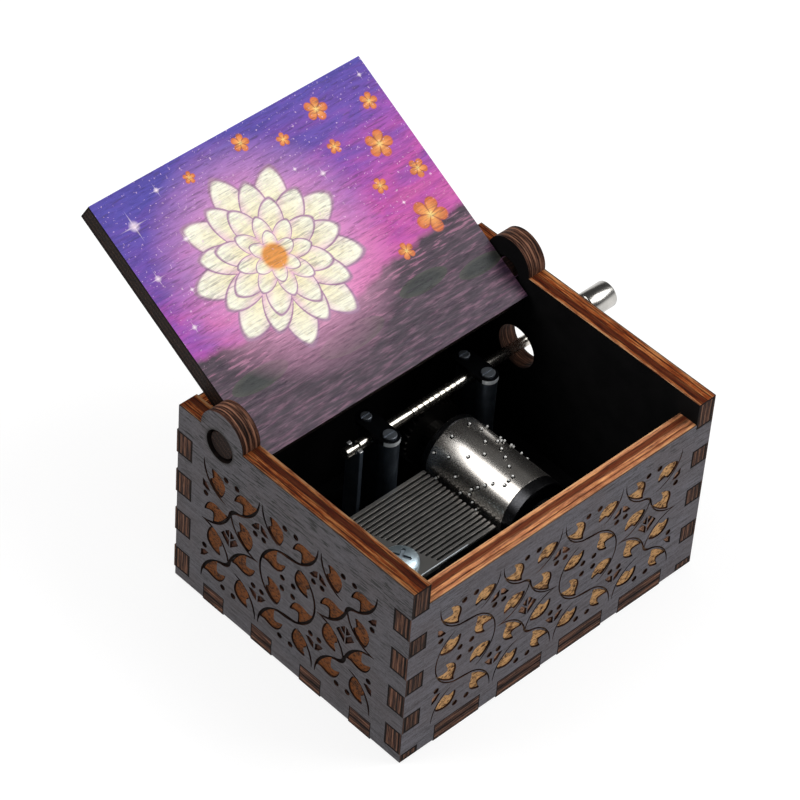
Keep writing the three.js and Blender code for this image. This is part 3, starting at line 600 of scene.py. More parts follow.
@dataclass(frozen=True)
class PrintedBoard(Finish):
    """A water lily at dusk printed on the lid, with drifting blossoms and sparks over dark ripples."""

    lean: float = LEAN
    hinge: Point = HINGE
    lily: Point = (-6.0, 20.4)
    whorls: tuple[Triple, ...] = (
        (15.6, 9, 0.1), (13.0, 9, 0.6), (10.0, 8, 0.2), (7.0, 8, 0.7), (4.4, 6, 0.3),
    )
    blossoms: tuple[Triple, ...] = (
        (21.8, 13.6, 3.1), (14.2, 10.6, 1.5), (24.9, 21.0, 1.7), (17.2, 21.6, 1.4), (21.6, 27.4, 2.5),
        (14.4, 30.6, 1.3), (24.6, 34.2, 1.6), (15.6, 37.2, 2.1), (7.4, 35.6, 1.2), (0.6, 38.4, 1.6),
        (-10.5, 37.6, 1.1),
    )
    sparks: tuple[Triple, ...] = (
        (-23.4, 35.2, 3.0), (-17.2, 29.6, 1.6), (-25.2, 26.4, 1.8), (-16.6, 38.4, 1.5), (-24.8, 17.2, 1.4),
        (9.8, 27.8, 1.6), (-21.4, 22.4, 1.1), (26.0, 38.6, 1.2), (6.0, 30.6, 1.0), (19.0, 17.4, 0.9),
    )
    pads: tuple[Triple, ...] = ((-20.5, 5.4, 5.6), (-3.0, 3.4, 6.6), (13.4, 5.0, 5.0), (24.0, 2.6, 4.6))

    def near(self, graph: Graph, middle: Point, radius: float, squash: float = 1.0) -> object:
        """Centres the board's coordinates on a spot, in shares of its radius across, squashed in height."""
        (x, y), wide, tall = middle, 1 / radius, 1 / radius / squash
        return graph.place(graph.where, (wide, tall, 0.0), (0, 0, 0), (-x * wide, -y * tall, 0))

    def flower(
        self, graph: Graph, spot: object, count: int, turn: float, blunt: float
    ) -> tuple[object, object]:
        """Measures places against a flower's petals.

        Args:
            graph: The material's graph.
            spot: Coordinates centred on the flower, in shares of its radius.
            count: Its petals.
            turn: How far they are turned, in petals.
            blunt: How blunt their tips are.

        Returns:
            The distance from the middle over the outline's, and the place across a petal, 0 in its middle
            to 1 between two.
        """
        a, b, _ = graph.parts(spot)
        angle = graph.times(graph.math("ARCTAN2", b, a), count / FULL_TURN)
        share = graph.math("FRACT", graph.plus(angle, turn + count))
        across = graph.times(graph.size(graph.minus(share, 0.5)), 2.0)
        dent = graph.times(graph.math("POWER", across, blunt), 0.42)
        return graph.math("DIVIDE", graph.length(spot), graph.minus(1.0, dent)), across

    def sparkle(self, graph: Graph, spark: Triple) -> object:
        """Works out the glow of a spark with thin rays.

        Args:
            graph: The material's graph.
            spark: Its place and the length of its rays.

        Returns:
            Its glow, 0 to 1.
        """
        near = self.near(graph, spark[:2], spark[2])
        a, b, _ = graph.parts(near)
        cross = graph.times(graph.size(a), graph.size(b))
        away = graph.length(near)
        rays = graph.times(graph.span(cross, 0.0, 0.02, 1.0, 0.0), graph.span(away, 0.1, 1.0, 0.9, 0.0))
        return graph.most(rays, graph.span(away, 0.05, 0.35, 1.0, 0.0))

    def dusk(self, graph: Graph, x: object, y: object, clouds: object) -> object:
        """Colours the evening sky, violet above and magenta below, streaked by clouds.

        Args:
            graph: The material's graph.
            x: Place along the hinge.
            y: Place away from the hinge.
            clouds: The clouds' noise.

        Returns:
            The colour's socket.
        """
        drift = graph.times(graph.minus(clouds, 0.5), 0.9)
        height = graph.plus(graph.span(y, 4.0, 42.0), drift)
        sideways = graph.plus(height, graph.span(x, -28.0, 28.0, 0.08, -0.12))
        low = [(0.0, (214, 96, 168)), (0.26, (196, 70, 168)), (0.5, (152, 66, 176))]
        return graph.ramp(sideways, low + [(0.72, (104, 62, 172)), (1.0, (76, 62, 170))])

    def water(self, graph: Graph, x: object, y: object, sky: object) -> object:
        """Lays dark ripples and lily pads along the hinge.

        Args:
            graph: The material's graph.
            x: Place along the hinge.
            y: Place away from the hinge.
            sky: Colour of what lies behind.

        Returns:
            The colour's socket.
        """
        swell = graph.times(graph.noise(graph.place(graph.where, (0.16, 0.0, 0.0)), 1.0, 3.0), 4.4)
        shore = graph.plus(swell, graph.times(graph.size(x), 0.16))
        depth = graph.minus(graph.plus(shore, 6.4), y)
        ripple = graph.noise(graph.place(graph.where, (0.3, 2.4, 1.0)), 0.9, 3.0, 0.6)
        dark = graph.mix(graph.span(ripple, 0.4, 0.68), (56, 38, 56), (104, 74, 94))
        color = graph.mix(graph.span(depth, -0.4, 0.9), sky, dark)
        fading = graph.times(graph.span(depth, 0.1, 1.2), graph.span(depth, 1.0, 8.0, 0.55, 0.1))
        shine = graph.times(graph.span(ripple, 0.57, 0.64), fading)
        color = graph.mix(shine, color, (206, 132, 166))
        for px, py, radius in self.pads:
            spot = self.near(graph, (px, py), radius, 0.3)
            away = graph.length(spot)
            leaf = graph.mix(graph.span(away, 0.6, 1.0), (40, 44, 44), (66, 66, 60))
            color = graph.mix(graph.span(away, 0.97, 1.03, 1.0, 0.0), color, leaf)
        return color

    def lilies(self, graph: Graph, ground: object) -> object:
        """Lays the large pale lily with its glow, whorl upon whorl.

        Args:
            graph: The material's graph.
            ground: Colour of what lies behind.

        Returns:
            The colour's socket.
        """
        halo = graph.length(self.near(graph, self.lily, self.whorls[0][0]))
        color = graph.mix(graph.span(halo, 0.6, 1.35, 0.75, 0.0), ground, (248, 170, 214))
        veins = graph.noise(self.near(graph, self.lily, 1.6), 1.3, 4.0, 0.65)
        for radius, count, turn in self.whorls:
            away, across = self.flower(graph, self.near(graph, self.lily, radius), count, turn, 1.5)
            pale = graph.mix(graph.span(across, 0.25, 1.0), (255, 253, 232), (238, 186, 210))
            warm = graph.mix(graph.span(away, 0.35, 0.9, 0.6, 0.0), pale, (246, 222, 130))
            veined = graph.mix(graph.span(veins, 0.52, 0.7, 0.0, 0.35), warm, (214, 196, 150))
            lined = graph.mix(graph.span(away, 0.93, 0.97, 0.0, 0.85), veined, (156, 92, 150))
            color = graph.mix(graph.span(away, 0.985, 1.015, 1.0, 0.0), color, lined)
        heart = graph.length(self.near(graph, self.lily, 2.3))
        return graph.mix(graph.span(heart, 0.8, 1.1, 1.0, 0.0), color, (236, 152, 58))

    def drifting(self, graph: Graph, color: object) -> object:
        """Scatters small orange blossoms.

        Args:
            graph: The material's graph.
            color: Colour of what lies behind.

        Returns:
            The colour's socket.
        """
        for x, y, radius in self.blossoms:
            away, across = self.flower(graph, self.near(graph, (x, y), radius), 5, x % 1, 2.4)
            stops = [(0.0, (255, 232, 140)), (0.32, (246, 164, 78)), (1.0, (214, 96, 44))]
            petal = graph.mix(graph.span(across, 0.7, 1.0, 0.0, 0.7), graph.ramp(away, stops), (136, 50, 40))
            color = graph.mix(graph.span(away, 0.95, 1.05, 1.0, 0.0), color, petal)
        return color

    def paint(self, graph: Graph) -> Coat:
        """Lays the print over the board's grain, on coordinates with X along the hinge and Y away from it.

        Args:
            graph: The material's graph.

        Returns:
            The shader's inputs.
        """
        across, up = self.hinge
        along = across * math.cos(self.lean) + up * math.sin(self.lean)
        out = up * math.cos(self.lean) - across * math.sin(self.lean)
        graph.where = graph.place(graph.where, (1, 1, 1), (-self.lean, 0, 0), (0, -along, -out))
        x, y, _ = graph.parts(graph.where)
        clouds = graph.noise(graph.place(graph.where, (0.5, 1.9, 1.0)), 0.13, 6.0, 0.62, 0.9)
        color = self.water(graph, x, y, self.dusk(graph, x, y, clouds))
        color = self.drifting(graph, self.lilies(graph, color))
        for spark in self.sparks:
            color = graph.mix(self.sparkle(graph, spark), color, (255, 236, 248))
        sprinkled = graph.span(graph.noise(graph.where, 1.7, 2.0, 0.7), 0.64, 0.7)
        specks = graph.times(sprinkled, graph.span(y, 8.0, 20.0))
        dusted = graph.mix(graph.times(specks, 0.6), color, (246, 208, 236))
        grain = graph.shared(Effects.wood_grain(), {"Vector": graph.where, "Width": 0.4, "Pores": 0.7})
        streaks = graph.ramp(grain["Streak"], [(0.38, (150, 142, 152)), (0.56, (255, 255, 255))])
        streaked = graph.mix(0.42, dusted, streaks, "MULTIPLY")
        return {
            "Base Color": graph.mix(graph.times(grain["Pore"], 0.35), streaked, (60, 40, 66)),
            "Roughness": graph.span(grain["Streak"], 0.3, 0.7, 0.5, 0.36),
            "Specular IOR Level": 0.3,
            "Normal": graph.bump(grain["Height"], 0.3, 0.0001),
        }


# Pieces


def frame_of(u: Vector, v: Vector, w: Vector, origin: Triple = (0, 0, 0)) -> Matrix:
    """Gives the matrix that carries a drawing and its depth onto three axes from an origin."""
    return Matrix.Translation(Vector(origin)) @ Matrix((u, v, w)).transposed().to_4x4()


def circle(middle: Point, radius: float, steps: int = 48) -> Outline:
    """Draws a circle by its corners."""
    return arc(middle, radius, 0, FULL_TURN, steps)[:-1]


def arc(middle: Point, radius: float, start: float, end: float, steps: int) -> Outline:
    """Draws an arc from one angle to another by its points, one more than its steps."""
    turns = [start + (end - start) * i / steps for i in range(steps + 1)]
    return [(middle[0] + radius * math.cos(t), middle[1] + radius * math.sin(t)) for t in turns]


def stepped(spans: Iterable[Point], level: float, other: float) -> Outline:
    """Draws an edge at one level that steps to another over each span."""
    return [p for a, b in spans for p in ((a, level), (a, other), (b, other), (b, level))]


def swapped(points: Outline) -> Outline:
    """Swaps the two axes of each point."""
    return [(b, a) for a, b in points]


def signed_area(outline: Outline) -> float:
    """Gives an outline's area, positive where it runs counter-clockwise."""
    return sum(a[0] * b[1] - b[0] * a[1] for a, b in zip(outline, outline[1:] + outline[:1])) / 2


class Piece:
    """A mesh in the making, in millimetres, that becomes one riding object."""

    WELD = 0.0005
    LEAST_SCORCHED = 2.0
    BEVEL_FROM = math.radians(40)

    def __init__(self, name: str) -> None:
        """Starts an empty piece under the name of the object that it becomes."""
        self.name, self.mesh = name, bmesh.new()
        self.finishes: dict[Finish, int] = {}

    def slot(self, finish: Finish) -> int:
        """Gives the place of a finish among the piece's materials."""
        return self.finishes.setdefault(finish, len(self.finishes))

    def take(self, part: bmesh.types.BMesh, place: Matrix, finish: object) -> None:
        """Adds a finished part to the piece.

        Args:
            part: The part, which is used up.
            place: Where it goes.
            finish: A finish, or a function that gives one for a face in the part's own frame.
        """
        bmesh.ops.remove_doubles(part, verts=part.verts, dist=self.WELD)
        bmesh.ops.recalc_face_normals(part, faces=part.faces)
        for face in part.faces:
            face.material_index = self.slot(finish(face) if callable(finish) else finish)
        part.transform(place)
        scratch = bpy.data.meshes.new("scratch")
        part.to_mesh(scratch)
        part.free()
        self.mesh.from_mesh(scratch)
        bpy.data.meshes.remove(scratch)

    def plate(
        self, solids: list[Outline], holes: list[Outline], low: float, high: float, place: Matrix,
        finish: object, dome: float = 0.0,
    ) -> None:
        """Adds a plate: all that its outlines cover, less its holes, which may overlap.

        Args:
            solids: The closed outlines of its areas.
            holes: The closed outlines of its holes.
            low: Depth of its one face.
            high: Depth of its other face.
            place: Where the drawing goes.
            finish: As for take.
            dome: Radius at which its upper side, if domed about the origin, comes down to the lower.
        """
        outlines = [o if signed_area(o) > 0 else o[::-1] for o in solids + holes]
        starts = [0]
        for outline in outlines:
            starts.append(starts[-1] + len(outline))
        loops = [list(range(a, b)) for a, b in zip(starts, starts[1:])]
        drawn = geometry.delaunay_2d_cdt([Vector(p) for o in outlines for p in o], [], loops, 0, 1e-5, True)
        part = bmesh.new()
        corners = [part.verts.new((p.x, p.y, low)) for p in drawn[0]]
        for triangle, covers in zip(drawn[2], drawn[5]):
            if covers and max(covers) < len(solids):
                part.faces.new([corners[i] for i in triangle])
        bmesh.ops.delete(part, geom=[v for v in part.verts if not v.link_faces], context="VERTS")
        raised = bmesh.ops.extrude_face_region(part, geom=part.faces[:])["geom"]
        upper = [v for v in raised if isinstance(v, bmesh.types.BMVert)]
        for corner in upper:
            share = min(1.0, corner.co.xy.length / dome) if dome else 0.0
            corner.co.z = low + (high - low) * math.sqrt(1.0 - share * share)
        self.take(part, place, finish)

    def scorch(self, cut: Finish, char: Finish, width: float) -> None:
        """Gives each cut face a scorched rim.

        Args:
            cut: Finish of the faces.
            char: Finish of the rims.
            width: Width of the rims.
        """
        cut_slot, char_slot = self.slot(cut), self.slot(char)
        self.mesh.faces.ensure_lookup_table()
        faces = [f for f in self.mesh.faces if f.material_index == cut_slot]
        faces = [f for f in faces if f.calc_area() > self.LEAST_SCORCHED]
        inset = bmesh.ops.inset_individual(self.mesh, faces=faces, thickness=width, use_even_offset=True)
        for face in inset["faces"]:
            face.material_index = char_slot

    def turned(self, profile: Outline, place: Matrix, finish: object, steps: int = 64) -> None:
        """Adds a turned part about the frame's depth axis.

        Args:
            profile: Radius and height of each corner of its section.
            place: Where the frame goes.
            finish: As for take.
            steps: Facets round the turn.
        """
        part = bmesh.new()
        corners = [part.verts.new((r, 0, h)) for r, h in profile]
        edges = [part.edges.new(pair) for pair in zip(corners, corners[1:])]
        bmesh.ops.spin(
            part, geom=corners + edges, cent=(0, 0, 0), axis=Z, angle=FULL_TURN, steps=steps, use_merge=True
        )
        self.take(part, place, finish)

    def block(self, low: Triple, high: Triple, finish: object) -> None:
        """Adds a block between two corners.

        Args:
            low: Its lowest corner.
            high: Its highest corner.
            finish: As for take.
        """
        part = bmesh.new()
        bmesh.ops.create_cube(part, size=1)
        bmesh.ops.scale(part, verts=part.verts, vec=Vector(high) - Vector(low))
        bmesh.ops.translate(part, verts=part.verts, vec=(Vector(high) + Vector(low)) / 2)
        self.take(part, Matrix(), finish)

    def wire(self, path: list[Vector], radius: float, finish: object) -> None:
        """Adds a round wire along a path.

        Args:
            path: The points it follows.
            radius: Its radius.
            finish: As for take.
        """
        line = bpy.data.curves.new("wire", "CURVE")
        line.dimensions = "3D"
        line.bevel_depth = radius
        line.bevel_resolution = 8
        line.use_fill_caps = True
        spline = line.splines.new("POLY")
        spline.points.add(len(path) - 1)
        for point, place in zip(spline.points, path):
            point.co = (*place, 1)
        holder = bpy.data.objects.new("wire", line)
        round_mesh = bpy.data.meshes.new_from_object(holder)
        part = bmesh.new()
        part.from_mesh(round_mesh)
        bpy.data.objects.remove(holder)
        bpy.data.curves.remove(line)
        bpy.data.meshes.remove(round_mesh)
        self.take(part, Matrix(), finish)

    def done(
        self, body: str, slot: str, *nodes: str, edge: float = 0.0, smooth: float = 35.0,
        rim: Finish | None = None,
    ) -> bpy.types.Object:
        """Turns the piece into an object that rides on a body.

        Args:
            body: The body it moves with.
            slot: The record's material slot; not used.
            *nodes: The nodes it stands for.
            edge: Width of the bevel on its sharp edges, in millimetres.
            smooth: Angle in degrees below which faces are shaded as one.
            rim: Finish of the bevel, or none for that of the faces beside it.

        Returns:
            The object.
        """
        mesh = bpy.data.meshes.new(self.name)
        rim_slot = self.slot(rim) if rim else -1
        self.mesh.transform(Matrix.Scale(MM, 4))
        self.mesh.to_mesh(mesh)
        self.mesh.free()
        for finish in self.finishes:
            mesh.materials.append(finish.material())
        mesh.shade_smooth()
        mesh.set_sharp_from_angle(angle=math.radians(smooth))
        made = bpy.data.objects.new(self.name, mesh)
        bpy.context.scene.collection.objects.link(made)
        if edge:
            bevel = made.modifiers.new("worn edges", "BEVEL")
            bevel.width = edge * MM
            bevel.segments = 2
            bevel.limit_method = "ANGLE"
            bevel.angle_limit = self.BEVEL_FROM
            bevel.harden_normals = True
            bevel.material = rim_slot
        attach(made, body)
        if nodes:
            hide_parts(*nodes)
        log.info("%s: %d faces, on %s", self.name, len(mesh.polygons), body)
        return made


# The scroll pattern


@dataclass
class Scroll:
    """Traditional scroll of vines and leaves on a lattice of tiles, drawn as seen from outside."""

    columns: list[float]
    rows: list[float]
    tiles: list[list[Tile]]
    lean: int = 1
    clear: list[Triple] = field(default_factory=list)
    vine_width: float = 0.42
    swell: float = 0.36
    ring_gap: float = 0.35
    dot: float = 0.56
    inlay_gap: float = 0.17
    leaf_growth: float = 1.2
    leaf_middle: Point = (0.1, 4.6)
    drawn_radius: float = 6.4
    ring_dot: Point = (1.22, 1.15)
    cluster_dot: Point = (0.95, 0.75)
    taper_start: float = 0.3
    taper_length: float = 2.4
    swell_length: float = 1.7
    star_end: float = 0.985
    free_starts: Triple = (0.08, 0.12, 0.27)
    vine_steps: int = 16
    dot_steps: int = 14

    LEAVES = {
        Leaf.CRESCENT: [
            (-1.9, 5.85), (-1.2, 5.15), (-0.65, 4.45), (-1.15, 3.95), (-2.0, 3.6), (-0.95, 3.05), (0.1, 3.0),
            (1.0, 3.6), (1.7, 4.8), (2.3, 5.35), (1.1, 5.8), (-0.5, 6.0),
        ],
        Leaf.OVAL: [
            (-1.95, 4.1), (-0.95, 3.25), (0.4, 3.1), (1.4, 3.8), (2.1, 5.25), (1.7, 5.8), (0.4, 6.0),
            (-0.7, 5.75), (-0.75, 5.0), (-1.2, 4.6),
        ],
    }
    PETAL = [(0.14, 2.05), (1.0, 1.55), (1.95, 0.35), (1.1, 0.15), (0.2, 0.6)]
    FACETS = [
        [(0.12, 1.95), (1.1, 1.05), (0.75, 0.55), (0.12, 0.05)],
        [(1.3, 0.85), (2.0, 0.0), (1.05, -0.95), (0.12, -1.85), (0.12, -0.4)],
    ]

    @staticmethod
    def borders(middles: list[float]) -> list[float]:
        """Gives the tiles' borders round and between their middles."""
        between = [(a + b) / 2 for a, b in zip(middles, middles[1:])]
        return [2 * middles[0] - between[0], *between, 2 * middles[-1] - between[-1]]

    def reach(self, row: int, column: int, side: int, level: int) -> tuple[Vector, Vector]:
        """Gives a tile's middle and the way from there to one of its corners.

        Args:
            row: The tile's row.
            column: The tile's column.
            side: -1 or 1, the corner's side.
            level: -1 or 1, the corner's level.

        Returns:
            The middle and the way.
        """
        middle = Vector((self.columns[column], self.rows[row]))
        across, up = self.borders(self.columns), self.borders(self.rows)
        corner = Vector((across[column + (side > 0)], up[row + (level < 0)]))
        way = corner - middle
        if self.tiles[row][column] is not Tile.STAR:
            way.x -= side * self.ring_gap
        return middle, way

    def quarter(
        self, row: int, column: int, side: int, level: int, start: float = 0.0, end: float = 1.0
    ) -> list[Vector]:
        """Follows the vine in one corner of a tile, from the tile's top or bottom to its side.

        Args:
            row: The tile's row.
            column: The tile's column.
            side: -1 or 1, the corner's side.
            level: -1 or 1, the corner's level.
            start: Share of the way at which it starts.
            end: Share of the way at which it ends.

        Returns:
            The points it follows.
        """
        middle, way = self.reach(row, column, side, level)
        star = self.tiles[row][column] is Tile.STAR
        points = []
        for k in range(self.vine_steps + 1):
            t = SQUARE * (start + (end - start) * k / self.vine_steps)
            across, up = (1 - math.cos(t), 1 - math.sin(t)) if star else (math.sin(t), math.cos(t))
            points.append(middle + Vector((way.x * across, way.y * up)))
        return points

    def ribbon(self, points: list[Vector], blunt: tuple[bool, bool], knot: int = -1) -> Outline:
        """Draws the groove that a vine leaves, tapering to its ends and swelling at its knot.

        Args:
            points: The points it follows.
            blunt: Whether each end keeps its width.
            knot: Place of the knot in the points, or -1 for none.

        Returns:
            The groove's outline.
        """
        lengths = [0.0]
        for a, b in zip(points, points[1:]):
            lengths.append(lengths[-1] + (b - a).length)
        left, right = [], []
        for i, point in enumerate(points):
            ends = (lengths[i], lengths[-1] - lengths[i])
            shares = [self.taper_start + away / self.taper_length for away in ends]
            taper = min(1.0 if keep else share for keep, share in zip(blunt, shares))
            past = (lengths[i] - lengths[knot]) / self.swell_length
            more = self.swell * math.exp(-(past**2)) if knot >= 0 else 0.0
            half = (self.vine_width + more) / 2 * min(1.0, taper)
            heading = points[min(i + 1, len(points) - 1)] - points[max(i - 1, 0)]
            beside = Vector((-heading.y, heading.x)).normalized() * half
            left.append((point + beside).to_tuple())
            right.append((point - beside).to_tuple())
        return left + right[::-1]

    def eased(self, points: list[Vector], knot: int, span: int = 3) -> list[Vector]:
        """Rounds the corner where two vines join.

        Args:
            points: The points that they follow.
            knot: Place of the corner.
            span: Points on each side that the rounding takes in.

        Returns:
            The rounded points.
        """
        a, b, c = points[knot - span], points[knot], points[knot + span]
        shares = [k / (2 * span) for k in range(2 * span + 1)]
        rounded = [a * (1 - t) ** 2 + b * 2 * t * (1 - t) + c * t * t for t in shares]
        return points[: knot - span] + rounded + points[knot + span + 1:]

    def cells(self) -> Iterator[tuple[int, int, Tile, int, int]]:
        """Walks through the corners of all tiles.

        Returns:
            For one corner after another, its tile's row and column, the tile, and its side and level.
        """
        for row, line in enumerate(self.tiles):
            for column, tile in enumerate(line):
                levels = {Tile.LOWER_HALF: (-1,), Tile.UPPER_HALF: (1,)}.get(tile, (-1, 1))
                yield from ((row, column, tile, side, level) for side in (-1, 1) for level in levels)

    def vines(self) -> list[Outline]:
        """Draws the grooves of all vines; those that lean one way run on into the next row's.

        Returns:
            The grooves' outlines.
        """
        grooves = []
        for row, column, tile, side, level in self.cells():
            star, ring = tile is Tile.STAR, tile is Tile.RING
            end = self.star_end if star else 1.0
            if level < 0 and side == -self.lean:
                below = self.tiles[row + 1][column]
                below_end = self.star_end if below is Tile.STAR else 1.0
                upper = self.quarter(row, column, side, level, 0.0, end)[::-1]
                lower = self.quarter(row + 1, column, -side, 1, 0.0, below_end)
                path = self.eased(upper + lower[1:], len(upper) - 1)
                grooves.append(self.ribbon(path, (ring, below is Tile.RING), len(upper) - 1))
            elif not (level > 0 and side == self.lean):
                beside = self.tiles[row - level][column]
                in_star, by_star, by_ring = self.free_starts
                start = in_star if star else by_star if beside is Tile.STAR else by_ring
                path = self.quarter(row, column, side, level, start, end)
                grooves.append(self.ribbon(path, (star, ring)))
        return grooves

    def leaf(self, kind: Leaf, hub: Vector, out: Vector, scale: float) -> Outline:
        """Draws a leaf that hugs a vine from inside.

        Args:
            kind: Its outline.
            hub: Centre of the vine's arc.
            out: Direction from the hub.
            scale: The arc's radius over the one that the leaves are drawn for.

        Returns:
            Its outline.
        """
        out = out.normalized()
        along = Vector((-out.y, out.x))
        (c, d), grow = self.leaf_middle, self.leaf_growth
        corners = [(c + (a - c) * grow, d + (b - d) * grow) for a, b in self.smooth(self.LEAVES[kind])]
        shape = [hub + along * a * scale + out * b * scale for a, b in corners]
        return [p.to_tuple() for p in shape]

    def smooth(self, points: list[Point], steps: int = 3) -> Outline:
        """Rounds a closed outline through its points.

        Args:
            points: The outline's points.
            steps: Segments between two points.

        Returns:
            The rounded outline.
        """
        rounded = []
        count = len(points)
        for i in range(count):
            a, b, c, d = (Vector(points[(i + k - 1) % count]) for k in range(4))
            square, cube = 2 * a - 5 * b + 4 * c - d, 3 * b - a - 3 * c + d
            for t in (k / steps for k in range(steps)):
                rounded.append((0.5 * (2 * b + (c - a) * t + square * t * t + cube * t**3)).to_tuple())
        return rounded

    def leaves(self) -> list[Outline]:
        """Draws the leaf in each corner of each tile.

        Returns:
            The leaves' outlines.
        """
        shapes = []
        for row, column, tile, side, level in self.cells():
            middle, way = self.reach(row, column, side, level)
            hub, out = middle, Vector((side, level))
            if tile is Tile.STAR:
                hub, out = middle + way, Vector((-side, -level))
            scale = (abs(way.x) + abs(way.y)) / 2 / self.drawn_radius
            kind = Leaf.CRESCENT if side * level == self.lean else Leaf.OVAL
            shapes.append(self.leaf(kind, hub, out, scale))
        return shapes

    def dots(self) -> list[Outline]:
        """Draws the dots: four in a ring, two in half a ring, and those of the clusters.

        Returns:
            The dots' outlines.
        """
        places = [
            (self.columns[column] + self.ring_dot[0] * side, self.rows[row] + self.ring_dot[1] * level)
            for row, column, tile, side, level in self.cells()
            if tile is not Tile.STAR
        ]
        across, up = self.cluster_dot
        places += [(u + across * side, v - up * way) for u, v, side, way in self.corners()]
        return [circle(place, self.dot, self.dot_steps) for place in places]

    def corners(self) -> list[tuple[float, float, int, int]]:
        """Lists the sides of the corners where tiles meet.

        Returns:
            Each corner's place, the side, and 1 where its petals point up or -1 where they point down.
        """
        across, up = self.borders(self.columns), self.borders(self.rows)[1:-1]
        found = []
        for v, way in zip(up, (1, -1)):
            for i, u in enumerate(across):
                sides = [side for side in (-1, 1) if 0 <= i + (side - 1) // 2 < len(self.columns)]
                found += [(u, v, side, way) for side in sides]
        return found

    def petals(self) -> list[Outline]:
        """Draws the petals of the clusters and the facets of the diamonds.

        Returns:
            Their outlines.
        """
        shapes = [[(u + side * a, v + up * b) for a, b in self.PETAL] for u, v, side, up in self.corners()]
        for v, line in zip(self.rows, self.tiles):
            for u, tile in zip(self.columns, line):
                if tile is Tile.STAR:
                    for facet in self.FACETS:
                        shapes += [[(u + side * a, v + b) for a, b in facet] for side in (-1, 1)]
        return shapes

    def keeps(self, outline: Outline) -> bool:
        """Tells whether an outline stays clear of the holes."""
        return all(math.dist(p, (u, v)) > r for p in outline for u, v, r in self.clear)

    def draw(self) -> tuple[list[Outline], list[Outline], list[Outline]]:
        """Draws the whole pattern: the outlines of its plain grooves, of its petals and of its leaves."""
        grooves, petals, leaves = self.vines() + self.dots(), self.petals(), self.leaves()
        return tuple([o for o in some if self.keeps(o)] for some in (grooves, petals, leaves))

    def shrunk(self, outline: Outline) -> Outline:
        """Draws an outline smaller by about the gap round an inlay.

        Args:
            outline: The outline.

        Returns:
            The smaller outline.
        """
        middle = sum((Vector(p) for p in outline), Vector((0, 0))) / len(outline)
        scale = 1 - 2 * self.inlay_gap / math.sqrt(abs(signed_area(outline)))
        return [(middle + (Vector(p) - middle) * scale).to_tuple() for p in outline]


# The box


@dataclass
class Panel:
    """One engraved board of the box: a core, a stained veneer with its cut pattern, and inlaid leaves."""

    name: str
    outlines: list[Outline]
    place: Matrix
    across: Triple
    inner: float
    scroll: Scroll
    face: Finish
    leaf: Finish
    petal: Finish
    groove: Finish
    inside: Finish
    crest: float = 1e6
    bore: Triple = (0.0, 0.0, 0.0)
    ply: float = PLY
    veneer: float = 0.35
    leaf_sink: float = 0.2
    petal_sink: float = 0.25
    inlay_root: float = 0.05
    scorch_rim: float = 0.36
    # Darkening of the edges towards near black: painted shade on the side walls' top edges and on the peg
    # ends in their holes; on the cut edges also their burnt tone.
    edge_painted_shade: float = 1.0
    edge_painted_light: float = 0.0
    cut_burn_and_painted_shade: float = 0.8
    peg_painted_shade: float = 0.16
    peg_chamfer: float = 0.2
    pegs: list[tuple[Matrix, float, float]] = field(default_factory=list)

    def edge(self, kind: str, scorched: bool, burn_and_painted_shade: float = 1.0, painted_light: float = 0.0) -> PlyEdge:
        """Gives the finish of one kind of edge, laser-scorched or sanded, with painted shade and light."""
        return PlyEdge(f"{self.name}_{kind}", self.across, self.inner, self.ply, scorched, burn_and_painted_shade, painted_light)

    def build(self, body: str = "box", slot: str = "box_ply") -> bpy.types.Object:
        """Builds and dresses the board.

        Args:
            body: The body it rides on.
            slot: The record's material slot.

        Returns:
            The board's object.
        """
        top_edge = self.edge("top_edge", False, self.edge_painted_shade, self.edge_painted_light)
        cut_edge, ear_edge = self.edge("cut_edge", True, self.cut_burn_and_painted_shade), self.edge("ear_edge", True)
        char = Char("char")
        piece = Piece(self.name + "_board")

        def side(face: Face) -> Finish:
            """Tells the sanded crest, the bore and the cut edges apart; the bore's char is scorch and painted
            shade.

            Args:
                face: A face across the layers.

            Returns:
                Its finish.
            """
            middle = face.calc_center_median()
            if (middle.xy - Vector(self.bore[:2])).length < self.bore[2] + 0.01:
                return char
            if middle.y > self.crest + 0.1:
                return ear_edge
            return top_edge if face.normal.y > 0.9 and abs(middle.y - self.crest) < 0.05 else cut_edge

        def core(face: Face) -> Finish:
            """Paints the core: the grooves' floor outside, its own finish inside."""
            return self.groove if face.normal.z > 0.5 else self.inside if face.normal.z < -0.5 else side(face)

        def skin(face: Face) -> Finish:
            """Paints the veneer: stain on its face."""
            return self.face if abs(face.normal.z) > 0.5 else side(face)

        def inlay(face: Face) -> Finish:
            """Paints a leaf: bare wood on its face."""
            return self.leaf if face.normal.z > 0.5 else char

        def chip(face: Face) -> Finish:
            """Paints a petal: darker bare wood on its face, painted shade in the sunken petal."""
            return self.petal if face.normal.z > 0.5 else char

        board, holes = self.outlines[:1], self.outlines[1:]
        grooves, petals, leaves = self.scroll.draw()
        floor = self.ply - self.veneer
        piece.plate(board, holes, 0.0, floor, self.place, core)
        piece.scorch(cut_edge, char, self.scorch_rim)
        piece.plate(board, holes + grooves + petals + leaves, floor, self.ply, self.place, skin)
        for shapes, sink, finish in ((leaves, self.leaf_sink, inlay), (petals, self.petal_sink, chip)):
            smaller = [self.scroll.shrunk(shape) for shape in shapes]
            piece.plate(smaller, grooves, floor - self.inlay_root, self.ply - sink, self.place, finish)
        tip, cut = self.edge("peg_end", True, self.peg_painted_shade), self.peg_chamfer
        for place, radius, end in self.pegs:
            profile = [(0, 0), (radius, 0), (radius, end - cut), (radius - cut, end), (0, end)]
            piece.turned(profile, place, tip, 40)
        return piece.done(body, slot, self.name, smooth=20)


